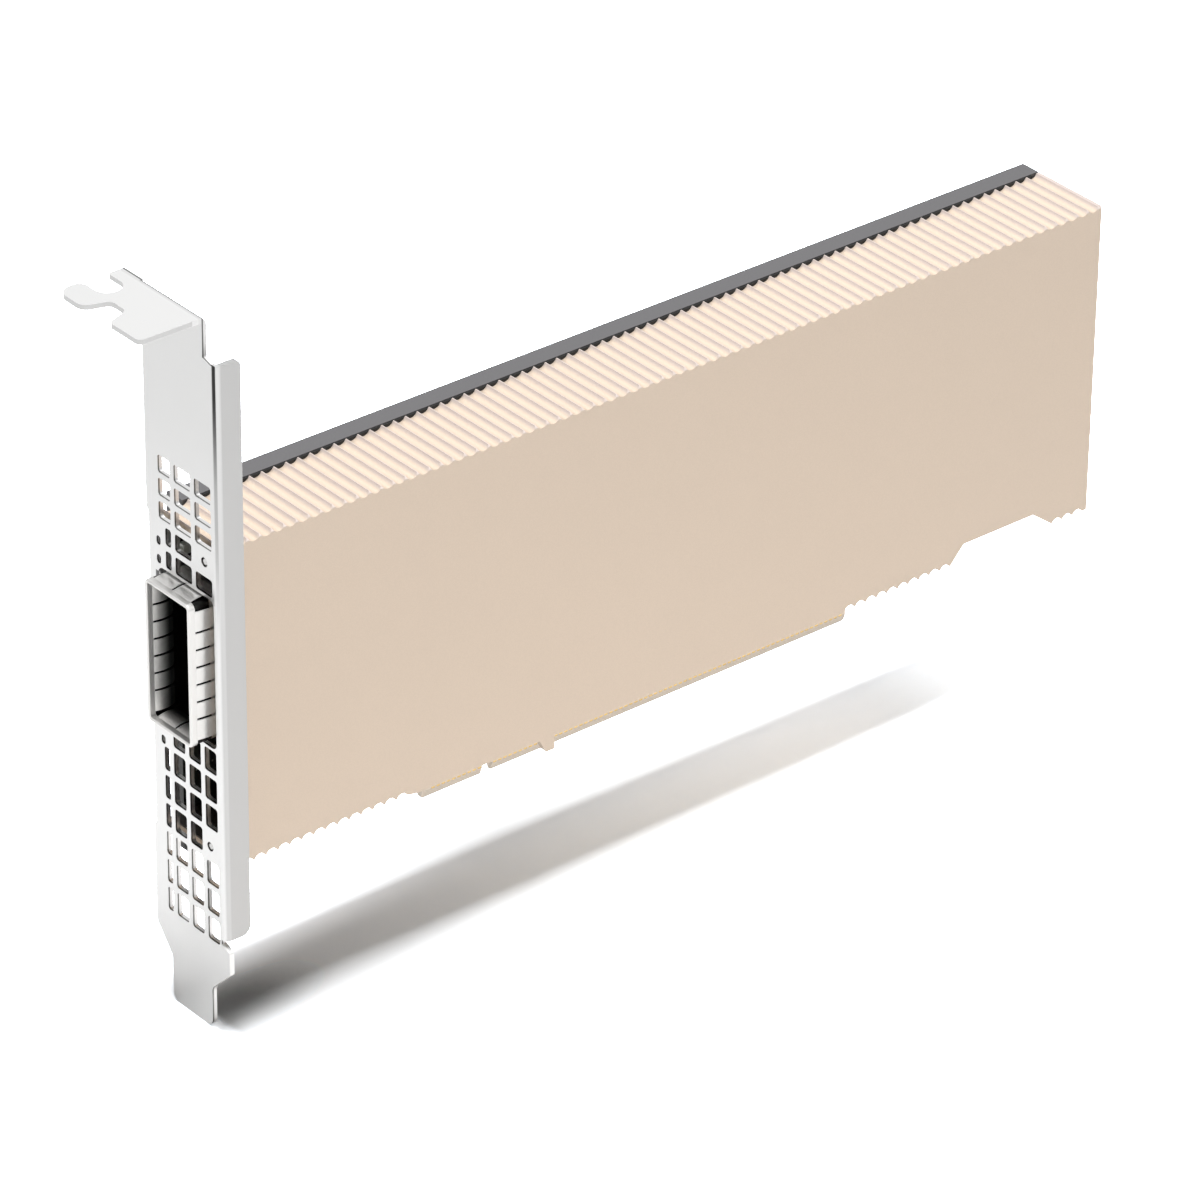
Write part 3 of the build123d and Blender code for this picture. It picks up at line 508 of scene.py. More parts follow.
@dataclass(frozen=True)
class ClearResin(Finish):
    """Cast clear resin of a lamp, slightly cloudy."""

    def paint(self, graph: ShaderGraph) -> None:
        """Clouds vary the milky tone.

        Args:
            graph: The graph of the material.
        """
        clouds = graph.noise(0.0007, 2.0)
        tone = graph.mix(clouds, self.colour, tint(self.colour, 0.85))
        graph.set(Base_Color=tone, Roughness=clouds * 0.1 + self.roughness, Coat_Weight=0.5)


def from_face(start: float, end: float) -> tuple[float, float]:
    """A span along X, counted from the bracket's outer face.

    Args:
        start: Its start in millimetres behind the face.
        end: Its end in millimetres behind the face.

    Returns:
        The span in metres.
    """
    return BRACKET_FACE + start * MM, BRACKET_FACE + end * MM


def round_cage(half_height: float, half_width: float) -> dict[str, tuple[float, float]]:
    """The spans of a zone in Y and Z, counted from the cage's middle.

    Args:
        half_height: Half of the span along Y in millimetres.
        half_width: Half of the span along Z in millimetres.

    Returns:
        Both spans in metres.
    """
    return {
        "y": (CAGE_MIDDLE_Y - half_height * MM, CAGE_MIDDLE_Y + half_height * MM),
        "z": (CAGE_MIDDLE_Z - half_width * MM, CAGE_MIDDLE_Z + half_width * MM),
    }


FOLD_SPAN = from_face(0.03, 0.30)
FOLD_DEPTH = (FLANGE_OUTSIDE, FOLD_LINE)
# Painted shade on the walls of the vent holes and on the cut edges of the plate.
HOLE_WALL_SHADE = ShadeZone(0.20, from_face(0.02, 0.26), (FOLD_LINE, FAR), borders=(0.05 * MM, 0.05 * MM, 0.0))
# Painted shade on the flange, which catches too much reflected light from the floor.
FLANGE_SIDE_SHADE = ShadeZone(0.62, (BRACKET_FACE + 0.86 * MM, 0.0), borders=(0.3 * MM, 0.0, 0.0))
# Painted shade along the bend of the flange's fold, darker towards the top, standing in for the dark
# reflection in the bend.
FOLD_TURN_SHADE = ShadeZone(0.72, from_face(0.2, 1.3), FOLD_DEPTH, borders=(0.3 * MM, 0.05 * MM, 0.0))
FOLD_MIDDLE_SHADE = ShadeZone(0.55, FOLD_SPAN, FOLD_DEPTH, (0.050, 0.110), (0.08 * MM, 0.05 * MM, 0.024))
FOLD_SHADE = ShadeZone(0.05, FOLD_SPAN, FOLD_DEPTH, (0.074, 0.110), (0.08 * MM, 0.05 * MM, 0.020))
# Painted shade on the plate, growing towards the top, against the brighter reflection of the open floor
# there.
UPPER_PLATE_SHADE = ShadeZone(0.84, from_face(-0.8, 0.6), z=(0.040, FAR), borders=(0.5 * MM, 0.0, 0.050))
# Painted shade on the mounting tab's face, and a darker painted shade along the tab's cut edges.
TAB_FACE_SHADE = ShadeZone(0.93, (-FAR, BRACKET_FACE - 0.8 * MM))
TAB_EDGE_SHADE = ShadeZone(
    0.72,
    (-FAR, BRACKET_FACE - 1.6 * MM),
    z=(TAB_TOP - 0.84 * MM, TAB_TOP - 0.10 * MM),
    borders=(0.06 * MM, 0.0, 0.06 * MM),
)
NICKEL = RolledSheet(
    "bracket_nickel",
    (0.84, 0.84, 0.835),
    0.36,
    shade_zones=(FOLD_TURN_SHADE, FLANGE_SIDE_SHADE, UPPER_PLATE_SHADE, HOLE_WALL_SHADE, FOLD_MIDDLE_SHADE, FOLD_SHADE, TAB_FACE_SHADE, TAB_EDGE_SHADE),
)
# Painted shade inside the cage beyond its mouth, and on the cage wall seen through the collar's slits.
CAGE_DEPTH_SHADE = ShadeZone(
    0.05,
    (BRACKET_FACE - 2.4 * MM, 0.0),
    **round_cage(5.08, 11.63),
    borders=(0.4 * MM, 0.04 * MM, 0.04 * MM),
)
CAGE_SLIT_SHADE = ShadeZone(0.05, from_face(-2.2, 0.6), borders=(0.3 * MM, 0.0, 0.0))
CAGE_NICKEL = RolledSheet(
    "cage_nickel", (0.74, 0.73, 0.71), 0.34, Axis.X, line=0.00009, shade_zones=(CAGE_DEPTH_SHADE, CAGE_SLIT_SHADE)
)
# Painted shade on the collar's fingers deeper inside the cage.
SPRING_DEPTH_SHADE = ShadeZone(
    0.05,
    (BRACKET_FACE - 1.5 * MM, 0.0),
    **round_cage(5.0, 11.5),
    borders=(2.4 * MM, 0.08 * MM, 0.08 * MM),
)
SPRING_NICKEL = RolledSheet(
    "spring_nickel", (0.92, 0.91, 0.89), 0.30, Axis.X, metallic=0.6, line=0.00007, shade_zones=(SPRING_DEPTH_SHADE,)
)
STEEL = RolledSheet("screw_steel", (0.62, 0.62, 0.61), 0.28, Axis.NONE, line=0.0003)
# Painted shade on the inner faces of the cover.
COVER_INSIDE_SHADE = ShadeZone(
    0.07,
    (-FAR, 104.5 * MM),
    (-13.9 * MM, 0.0),
    (15.2 * MM, 66.2 * MM),
    (0.3 * MM, 0.3 * MM, 0.3 * MM),
)
CHAMPAGNE = BlastedMetal(
    "cover_champagne",
    (0.737, 0.615, 0.500),
    0.52,
    # The crown colour is a painted sheen on the ribs' top faces.
    crown=(0.726, 0.635, 0.595),
    sheen_level=COVER_TOP - 0.6 * MM,
    shade_zones=(COVER_INSIDE_SHADE,),
)
BARE_FINS = RolledSheet("bare_fins", (0.76, 0.76, 0.75), 0.36, Axis.X)
GREY_SHEET = BlastedMetal("back_plate_grey", (0.150, 0.147, 0.152), 0.48, 0.4, 0.00016, 0.000006)
BOARD_BLACK = Laminate(
    "board_laminate",
    (0.014, 0.016, 0.015),
    0.42,
    (0.022, 0.025, 0.023),
    bare=(0.93, 0.82, 0.70),
    bare_level=2.2 * MM,
)
GOLD = GoldPlate("contact_gold", (0.86, 0.62, 0.27), 0.26)
BLACK_MOULD = MouldedBody("black_mould", (0.022, 0.022, 0.023), 0.46)
CHIP_MOULD = MouldedBody("chip_mould", (0.030, 0.030, 0.031), 0.55, 0.00012)
CASE_MOULD = MouldedBody("capacitor_mould", (0.055, 0.050, 0.045), 0.50)
SOFT_PAD = MouldedBody("soft_pad", (0.34, 0.40, 0.46), 0.80, 0.0003, 0.00002)
GREY_PASTE = MouldedBody("grey_paste", (0.45, 0.45, 0.46), 0.70, 0.0005, 0.00004)
BLACK_FOAM = MouldedBody("black_foam", (0.012, 0.012, 0.012), 0.85, 0.0003, 0.00003)
BLACK_FILM = MouldedBody("black_film", (0.025, 0.025, 0.027), 0.34, 0.0009, 0.000004)
SUBSTRATE_GREEN = Laminate("substrate_green", (0.02, 0.08, 0.045), 0.35, (0.03, 0.11, 0.06), 0.0004, 0.0011)
SILICON = RolledSheet("polished_silicon", (0.20, 0.21, 0.24), 0.14, Axis.NONE, 0.6, 0.0006, 0.0000005)
POWDER_CORE = FiredCeramic("powder_core", (0.085, 0.085, 0.09), 0.62)
TAN_CERAMIC = FiredCeramic("tan_ceramic", (0.42, 0.29, 0.18), 0.45, 0.00015)
LID_METAL = RolledSheet("lid_metal", (0.62, 0.60, 0.55), 0.30, Axis.X)
LAMP_RESIN = ClearResin("lamp_resin", (0.80, 0.83, 0.76), 0.18)

NODE_FINISHES: dict[str, Finish] = {
    "bracket": NICKEL,
    "bracket_pins": STEEL,
    "bracket_screws": STEEL,
    "cover_screws": STEEL,
    "heat_sink_screws": STEEL,
    "spring_washers": STEEL,
    "cage_shell": CAGE_NICKEL,
    "spring_collar": SPRING_NICKEL,
    "cage_connector": BLACK_MOULD,
    "port_contacts": GOLD,
    "cage_thermal_pad": SOFT_PAD,
    "power_chip_pads": SOFT_PAD,
    "heat_sink_cover": CHAMPAGNE,
    "finned_heat_sink": BARE_FINS,
    "back_plate": GREY_SHEET,
    "insulating_film": BLACK_FILM,
    "edge_gasket": BLACK_FOAM,
    "circuit_board": BOARD_BLACK,
    "edge_contacts": GOLD,
    "processor_substrate": SUBSTRATE_GREEN,
    "processor_die": SILICON,
    "processor_ring": LID_METAL,
    "thermal_compound": GREY_PASTE,
    "power_chips": CHIP_MOULD,
    "flash_chips": CHIP_MOULD,
    "controller_chip": CHIP_MOULD,
    "clock_oscillator": LID_METAL,
    "inductors": POWDER_CORE,
    "polymer_capacitors": CASE_MOULD,
    "ceramic_capacitors": TAN_CERAMIC,
    "rear_capacitors": TAN_CERAMIC,
    "indicator_lights": LAMP_RESIN,
}


@dataclass
class CardDress:
    """Gives every node of the card its finish."""

    finishes: dict[str, Finish] = field(default_factory=lambda: dict(NODE_FINISHES))
    made: dict[str, bpy.types.Material] = field(default_factory=dict)

    def material(self, node: str) -> bpy.types.Material:
        """The material of a node's finish, made once.

        Args:
            node: The name of the node.

        Returns:
            The material.
        """
        finish = self.finishes[node]
        if finish.name not in self.made:
            self.made[finish.name] = finish.material()
        return self.made[finish.name]

    def dress(self) -> None:
        """Puts each finish in the slots of its nodes."""
        for node in self.finishes:
            put_on(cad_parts[node], self.material(node))
            LOG.info("node %s has finish %s", node, self.finishes[node].name)


def put_on(piece: bpy.types.Object, material: bpy.types.Material) -> None:
    """Gives an object one material in every slot.

    Args:
        piece: The object.
        material: The material.
    """
    if not piece.material_slots:
        piece.data.materials.append(material)
    for slot in piece.material_slots:
        slot.material = material


def islands(node: str) -> np.ndarray:
    """Boxes of the separate solids of a CAD node.

    Points that coincide are joined, then the lowest label spreads through each solid's triangles.

    Args:
        node: The name of the node.

    Returns:
        The lowest and highest corner of each solid, in order along X.
    """
    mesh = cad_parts[node].data
    mesh.calc_loop_triangles()
    places = np.empty(len(mesh.vertices) * 3)
    mesh.vertices.foreach_get("co", places)
    corners = np.empty(len(mesh.loop_triangles) * 3, dtype=np.int64)
    mesh.loop_triangles.foreach_get("vertices", corners)
    places, joined = np.unique(places.reshape(-1, 3).round(7), axis=0, return_inverse=True)
    triangles = joined.reshape(-1)[corners].reshape(-1, 3)
    labels = np.arange(len(places))
    while True:
        lowest = labels.copy()
        np.minimum.at(lowest, triangles.ravel(), np.repeat(labels[triangles].min(axis=1), 3))
        lowest = lowest[lowest]
        if np.array_equal(lowest, labels):
            break
        labels = lowest
    names, part = np.unique(labels, return_inverse=True)
    boxes = np.stack([np.full((len(names), 3), np.inf), np.full((len(names), 3), -np.inf)], axis=1)
    np.minimum.at(boxes[:, 0], part.reshape(-1), places)
    np.maximum.at(boxes[:, 1], part.reshape(-1), places)
    return boxes[np.argsort(boxes[:, 0, 0])]


@dataclass
class Shell:
    """Points and triangles of a piece, gathered from closed parts."""

    points: list[np.ndarray] = field(default_factory=list)
    faces: list[np.ndarray] = field(default_factory=list)
    count: int = 0

    def add(self, points: np.ndarray, triangles: np.ndarray) -> None:
        """Adds parts that share one pattern of triangles, each turned so that its normals point out.

        Args:
            points: Points numbered by part, point and coordinate.
            triangles: The pattern of each part.
        """
        corners = points[:, triangles]
        volume = np.einsum("pfi,pfi->p", corners[:, :, 0], np.cross(corners[:, :, 1], corners[:, :, 2]))
        parts, size, _ = points.shape
        faces = np.broadcast_to(triangles, (parts, *triangles.shape)).copy()
        inward = volume < 0.0
        faces[inward] = faces[inward][:, :, ::-1]
        starts = self.count + size * np.arange(parts)
        self.points.append(points.reshape(-1, 3))
        self.faces.append((faces + starts[:, None, None]).reshape(-1, 3))
        self.count += parts * size

    def add_tubes(self, rings: np.ndarray) -> None:
        """Adds tubes with closed ends.

        Args:
            rings: Points numbered by tube, ring along the tube, place round the ring and coordinate.
        """
        tubes, stations, around, _ = rings.shape
        ends = rings[:, (0, -1)].mean(axis=2)
        points = np.concatenate([rings.reshape(tubes, -1, 3), ends], axis=1)
        place = np.arange(around)
        after = (place + 1) % around
        last = (stations - 1) * around
        middle = np.full(around, stations * around)
        first_cap = np.column_stack([middle, after, place])
        last_cap = np.column_stack([middle + 1, last + place, last + after])
        self.add(points, np.concatenate([wall_triangles(stations, around, False), first_cap, last_cap]))

    def add_hoop(self, rings: np.ndarray) -> None:
        """Adds one hoop, which closes on itself both ways.

        Args:
            rings: Points numbered by ring, place round the ring and coordinate.
        """
        stations, around, _ = rings.shape
        self.add(rings.reshape(1, -1, 3), wall_triangles(stations, around, True))

    def piece(self, name: str, finish: bpy.types.Material, slot: str, nodes: Sequence[str]) -> None:
        """Makes the object, which stands for CAD nodes and rides on the card.

        Args:
            name: The name of the piece.
            finish: Its material.
            slot: The record's material slot for its finish; not used.
            nodes: The nodes that it replaces.
        """
        points, faces = np.concatenate(self.points), np.concatenate(self.faces)
        mesh = bpy.data.meshes.new(name)
        mesh.vertices.add(len(points))
        mesh.vertices.foreach_set("co", points.ravel())
        mesh.loops.add(faces.size)
        mesh.loops.foreach_set("vertex_index", faces.ravel())
        mesh.polygons.add(len(faces))
        mesh.polygons.foreach_set("loop_start", np.arange(0, faces.size, 3))
        mesh.polygons.foreach_set("use_smooth", np.ones(len(faces), dtype=bool))
        mesh.update(calc_edges=True)
        mesh.validate()
        mesh.set_sharp_from_angle(angle=SHARP_ANGLE)
        mesh.materials.append(finish)
        made = bpy.data.objects.new(name, mesh)
        bpy.context.scene.collection.objects.link(made)
        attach(made, "root")
        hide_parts(*nodes)
        LOG.info("piece %s has %d triangles", name, len(faces))


def wall_triangles(stations: int, around: int, closed: bool) -> np.ndarray:
    """Triangles between the rings of a tube.

    Args:
        stations: The number of rings.
        around: The number of points in a ring.
        closed: Whether the last ring joins the first.

    Returns:
        Rows of three point numbers.
    """
    ring = np.arange(stations if closed else stations - 1)[:, None]
    place = np.arange(around)[None, :]
    after = (place + 1) % around
    low, high = ring * around, (ring + 1) % stations * around
    first = np.stack([low + place, low + after, high + after], axis=-1)
    second = np.stack([low + place, high + after, high + place], axis=-1)
    return np.concatenate([first.reshape(-1, 3), second.reshape(-1, 3)])


def rounded(angles: np.ndarray, squareness: float) -> tuple[np.ndarray, np.ndarray]:
    """A ring between a circle and a square.

    Each coordinate is the cosine or sine with its size raised to a power, and its sign kept.

    Args:
        angles: The angles round the ring.
        squareness: The power: 1 for a circle, near 0 for a square.

    Returns:
        Both coordinates, from -1 to 1.
    """
    cosine, sine = np.cos(angles), np.sin(angles)
    return (
        np.sign(cosine) * np.abs(cosine) ** squareness,
        np.sign(sine) * np.abs(sine) ** squareness,
    )


@dataclass
class SpringCollar:
    """Spring collar at the mouth of the cage: a rolled lip with bowed fingers outside and inside."""

    mouth: float = BRACKET_FACE - 2.8 * MM
    wall: float = 0.30 * MM
    half_height: float = 5.10 * MM
    half_width: float = 11.65 * MM
    corner: float = 0.65 * MM
    band: float = 0.86 * MM
    nose: float = 0.25 * MM
    outer_sheet: float = 0.20 * MM
    inner_sheet: float = 0.12 * MM
    outer_bow: float = 0.30 * MM
    inner_bow: float = 0.34 * MM
    outer_length: float = 5.20 * MM
    inner_length: float = 3.60 * MM
    slit: float = 0.30 * MM
    side_count: int = 7
    side_pitch: float = 2.90 * MM
    side_excess: float = 0.80 * MM
    end_count: int = 2
    end_pitch: float = 4.50 * MM
    taper: float = 0.05
    tip_start: float = 0.93
    tip_narrowing: float = 0.28
    squareness: float = 0.30
    stations: int = 28
    around: int = 28

    def lip_path(self) -> tuple[np.ndarray, np.ndarray]:
        """Middle line of the cage's wall round its mouth, a rectangle with round corners.

        Each corner's centre is one corner radius inside the rectangle, and a quarter circle turns
        round it.

        Returns:
            The points and their outward directions, both in Y and Z.
        """
        turns = np.linspace(0.0, QUARTER, 12)
        angles = (turns[None, :] + QUARTER * np.arange(4)[:, None]).ravel()
        outward = np.column_stack([np.cos(angles), np.sin(angles)])
        signs = np.repeat(np.array([(1, 1), (-1, 1), (-1, -1), (1, -1)]), len(turns), axis=0)
        inset = np.array([self.half_height - self.corner, self.half_width - self.corner])
        centre = np.array([CAGE_MIDDLE_Y, CAGE_MIDDLE_Z])
        return centre + signs * inset + outward * self.corner, outward

    def lip_section(self) -> np.ndarray:
        """Section of the lip: two legs on both faces of the wall, joined by a round nose.

        Returns:
            Distance from the mouth and distance out from the wall's middle, round the section.
        """
        face = self.wall / 2
        out, inside = face + self.outer_sheet, face + self.inner_sheet
        turn = np.linspace(QUARTER, 3.0 * QUARTER, 15)
        nose_x = self.nose * (np.cos(turn) * 0.85) - self.nose * 0.15
        nose_n = (out - inside) / 2 + (out + inside) / 2 * np.sin(turn)
        inner_leg = [(self.band, -inside), (self.band, -face), (0.0, -face)]
        outer_leg = [(0.0, face), (self.band, face), (self.band, out)]
        return np.concatenate([np.column_stack([nose_x, nose_n]), inner_leg, outer_leg])

    def lip(self) -> np.ndarray:
        """Rings of the lip, its section at every point of the path."""
        path, outward = self.lip_path()
        section = self.lip_section()
        rings = np.empty((len(path), len(section), 3))
        rings[:, :, 0] = self.mouth + section[None, :, 0]
        rings[:, :, 1:] = path[:, None] + outward[:, None] * section[None, :, 1, None]
        return rings

    def row(self, count: int, pitch: float, excess: float, side: int) -> np.ndarray:
        """Rings of one row of fingers, in distance from the mouth, out from the wall and across.

        A finger's middle line rises by the bow times the sine of its place along it, and its rings
        stand square to that line. Its width narrows slightly and its end is round.

        Args:
            count: The number of fingers.
            pitch: Their pitch.
            excess: How much wider the first and the last are.
            side: 1 outside the wall, -1 inside it.

        Returns:
            Points numbered by finger, ring, place round the ring and coordinate.
        """
        sheet = self.outer_sheet if side > 0 else self.inner_sheet
        bow = self.outer_bow if side > 0 else self.inner_bow
        length = self.outer_length if side > 0 else self.inner_length
        step = np.arange(count)
        low = (step - count / 2) * pitch + self.slit / 2 - excess * (step == 0)
        high = (step + 1 - count / 2) * pitch - self.slit / 2 + excess * (step == count - 1)
        place = np.linspace(0.0, 1.0, self.stations)
        rise = bow * np.sin(math.pi * place)
        slope = np.arctan(bow / length * math.pi * np.cos(math.pi * place))
        past_tip = np.clip((place - self.tip_start) / (1.0 - self.tip_start), 0.0, 1.0)
        end = np.sqrt(1.0 - past_tip**2)
        narrow = (1.0 - self.taper * place) * (1.0 - self.tip_narrowing * (1.0 - end))
        angles = np.linspace(0.0, TURN, self.around, endpoint=False)
        across, thick = rounded(angles, self.squareness)
        thick = thick * sheet / 2
        base = self.wall / 2 + sheet / 2
        rings = np.empty((count, self.stations, self.around, 3))
        rings[..., 0] = self.band * 0.9 + (place * length)[:, None] - np.sin(slope)[:, None] * thick
        rings[..., 1] = side * (base + rise[:, None] + np.cos(slope)[:, None] * thick)
        middle, half = (low + high) / 2, (high - low) / 2
        rings[..., 2] = middle[:, None, None] + half[:, None, None] * narrow[:, None] * across
        return rings

    def build(self, finish: bpy.types.Material) -> None:
        """Makes the collar.

        Args:
            finish: Its material.
        """
        shell = Shell()
        shell.add_hoop(self.lip())
        for side in (1, -1):
            long_row = self.row(self.side_count, self.side_pitch, self.side_excess, side)
            end_row = self.row(self.end_count, self.end_pitch, 0.0, side)
            for sign in (1, -1):
                shell.add_tubes(self.stand(long_row, sign, self.half_height, (1, 2)))
                shell.add_tubes(self.stand(end_row, sign, self.half_width, (2, 1)))
        shell.piece("rolled_spring_collar", finish, "spring_collar", ["spring_collar"])

    def stand(self, row: np.ndarray, sign: int, reach: float, axes: tuple[int, int]) -> np.ndarray:
        """Puts a row of fingers on a wall of the cage.

        Args:
            row: The rings of the row.
            sign: The side of the cage.
            reach: Distance of the wall's middle from the cage's middle.
            axes: The axis out of the wall and the axis across the fingers.

        Returns:
            The rings in the card's frame.
        """
        out, across = axes
        placed = np.empty_like(row)
        placed[..., 0] = self.mouth + row[..., 0]
        placed[..., out] = sign * (reach + row[..., 1])
        placed[..., across] = row[..., 2]
        placed[..., 1] += CAGE_MIDDLE_Y
        placed[..., 2] += CAGE_MIDDLE_Z
        return placed


@dataclass
class LobedScrews:
    """Screws with a domed head and a six-lobed socket, at the places of the CAD ones."""

    head_radius: float = 2.1 * MM
    shank_radius: float = 0.98 * MM
    socket_radius: float = 0.78 * MM
    socket_depth: float = 0.62 * MM
    lobe: float = 0.16
    head_height: float = 1.2 * MM
    edge: float = 0.28 * MM
    dome: float = 0.16 * MM
    around: int = 96

    def profile(self, length: float) -> tuple[np.ndarray, np.ndarray, np.ndarray]:
        """Outline of a screw from the tip of its shank over its head to the floor of its socket.

        Args:
            length: The whole length.

        Returns:
            Radius, height above the tip, and how much of the lobes each ring has.
        """
        shoulder = length - self.head_height
        turn = np.linspace(0.0, QUARTER, 10)
        rim = np.linspace(self.head_radius - self.edge, self.socket_radius * 1.25, 14)
        fall = (self.head_radius - self.edge - rim) / (self.head_radius - self.edge)
        top = length - self.dome * (1.0 - fall) ** 2
        radius = np.concatenate([
            [self.shank_radius * 0.6, self.shank_radius, self.shank_radius, self.head_radius - 0.05 * MM],
            self.head_radius - self.edge * (1.0 - np.cos(turn)),
            rim[1:],
            [self.socket_radius * 1.06, self.socket_radius, self.socket_radius, self.socket_radius * 0.55],
        ])
        height = np.concatenate([
            [0.0, 0.25 * MM, shoulder, shoulder],
            length - self.dome - self.edge + self.edge * np.sin(turn),
            top[1:],
            [top[-1] - 0.02 * MM, top[-1] - 0.08 * MM],
            [length - self.socket_depth, length - self.socket_depth * 1.2],
        ])
        lobed = np.concatenate([np.zeros(4 + len(turn) + len(rim) - 2), [0.25, 1.0, 1.0, 1.0, 0.6]])
        return radius, height, lobed

    def build(self, finish: bpy.types.Material, nodes: Sequence[str]) -> None:
        """Makes one piece for each node of screws.

        Args:
            finish: Their material.
            nodes: The CAD nodes.
        """
        for node in nodes:
            shell = Shell()
            for low, high in islands(node):
                shell.add_tubes(self.rings(low, high)[None])
            shell.piece(f"lobed_{node}", finish, "screws", [node])

    def rings(self, low: np.ndarray, high: np.ndarray) -> np.ndarray:
        """Rings of one screw, whose head points along +Y.

        The socket's radius swells and shrinks with the cosine of six times the angle.

        Args:
            low: The lowest corner of the CAD screw.
            high: Its highest corner.

        Returns:
            Points numbered by ring, place round the ring and coordinate.
        """
        radius, height, lobed = self.profile(high[1] - low[1])
        angle = np.linspace(0.0, TURN, self.around, endpoint=False)
        wave = 1.0 + self.lobe * lobed[:, None] * np.cos(6.0 * angle)
        reach = radius[:, None] * wave
        middle = (low + high) / 2
        rings = np.empty((len(radius), self.around, 3))
        rings[..., 0] = middle[0] + reach * np.cos(angle)
        rings[..., 1] = low[1] + height[:, None]
        rings[..., 2] = middle[2] + reach * np.sin(angle)
        return rings


@dataclass
class ContactPads:
    """Gold contacts with round corners and softly worn edges, at the places of the CAD ones."""

    corner: float = 0.16 * MM
    crown: float = 0.25
    squareness: float = 0.35
    stations: int = 18
    around: int = 16

    def build(self, finish: bpy.types.Material) -> None:
        """Makes all the contacts as one piece.

        A contact is a row of flat rings along Z. Their width narrows by a quarter circle at both ends.

        Args:
            finish: Their material.
        """
        boxes = islands("edge_contacts")
        middle, half = boxes.mean(axis=1), (boxes[:, 1] - boxes[:, 0]) / 2
        place = np.sin(np.linspace(-QUARTER, QUARTER, self.stations))
        angles = np.linspace(0.0, TURN, self.around, endpoint=False)
        across, thick = rounded(angles, self.squareness)
        along = place[None] * half[:, 2, None]
        past = np.clip((np.abs(along) - half[:, 2, None] + self.corner) / self.corner, 0.0, 1.0)
        inset = self.corner * (1.0 - np.sqrt(1.0 - past**2)) * 0.98
        width = half[:, 0, None] - inset
        rings = np.empty((len(boxes), self.stations, self.around, 3))
        rings[..., 0] = middle[:, 0, None, None] + width[:, :, None] * across
        crown_factor = (1.0 - self.crown * past**2)[:, :, None]
        outward = np.sign(middle[:, 1])[:, None, None]
        flat = half[:, 1, None, None]
        rings[..., 1] = middle[:, 1, None, None] + flat * (outward * (thick * crown_factor + crown_factor - 1.0))
        rings[..., 2] = (middle[:, 2, None] + along)[:, :, None]
        shell = Shell()
        shell.add_tubes(rings)
        shell.piece("worn_edge_contacts", finish, "edge_contacts", ["edge_contacts"])


@dataclass
class PhotoCamera:
    """The camera, at the angle from which the card is seen."""

    place: tuple[float, float, float] = (-0.57006, -0.71588, 0.57556)
    ahead: tuple[float, float, float] = (0.54795, 0.66176, -0.51169)
    roll_degrees: float = 0.66
    lens_mm: float = 211.65
    sensor_mm: float = 36.0
    far_end: float = 20.0

    def build(self) -> None:
        """Makes the camera.

        Its right-hand direction is ahead crossed with up, and both are turned about ahead by the roll.
        """
        data = bpy.data.cameras.new("photo_camera")
        data.lens = self.lens_mm
        data.sensor_width = self.sensor_mm
        data.clip_end = self.far_end
        ahead = Vector(self.ahead).normalized()
        level_right = ahead.cross(Vector((0.0, 0.0, 1.0))).normalized()
        level_up = level_right.cross(ahead)
        turn = math.radians(self.roll_degrees)
        right = level_right * math.cos(turn) + level_up * math.sin(turn)
        up = level_up * math.cos(turn) - level_right * math.sin(turn)
        camera = bpy.data.objects.new("photo_camera", data)
        rows = Matrix((right, up, -ahead)).transposed()
        camera.matrix_world = Matrix.Translation(Vector(self.place)) @ rows.to_4x4()
        bpy.context.scene.collection.objects.link(camera)
        bpy.context.scene.camera = camera


@dataclass
class SoftBox:
    """One rectangular lamp that faces a point."""

    name: str
    place: tuple[float, float, float]
    target: tuple[float, float, float]
    width: float
    depth: float
    watts: float

    def build(self) -> None:
        """Makes the lamp."""
        data = bpy.data.lights.new(self.name, "AREA")
        data.shape = "RECTANGLE"
        data.size = self.width
        data.size_y = self.depth
        data.energy = self.watts
        lamp = bpy.data.objects.new(self.name, data)
        lamp.location = self.place
        aim = Vector(self.target) - Vector(self.place)
        lamp.rotation_euler = aim.to_track_quat("-Z", "Y").to_euler()
        bpy.context.scene.collection.objects.link(lamp)


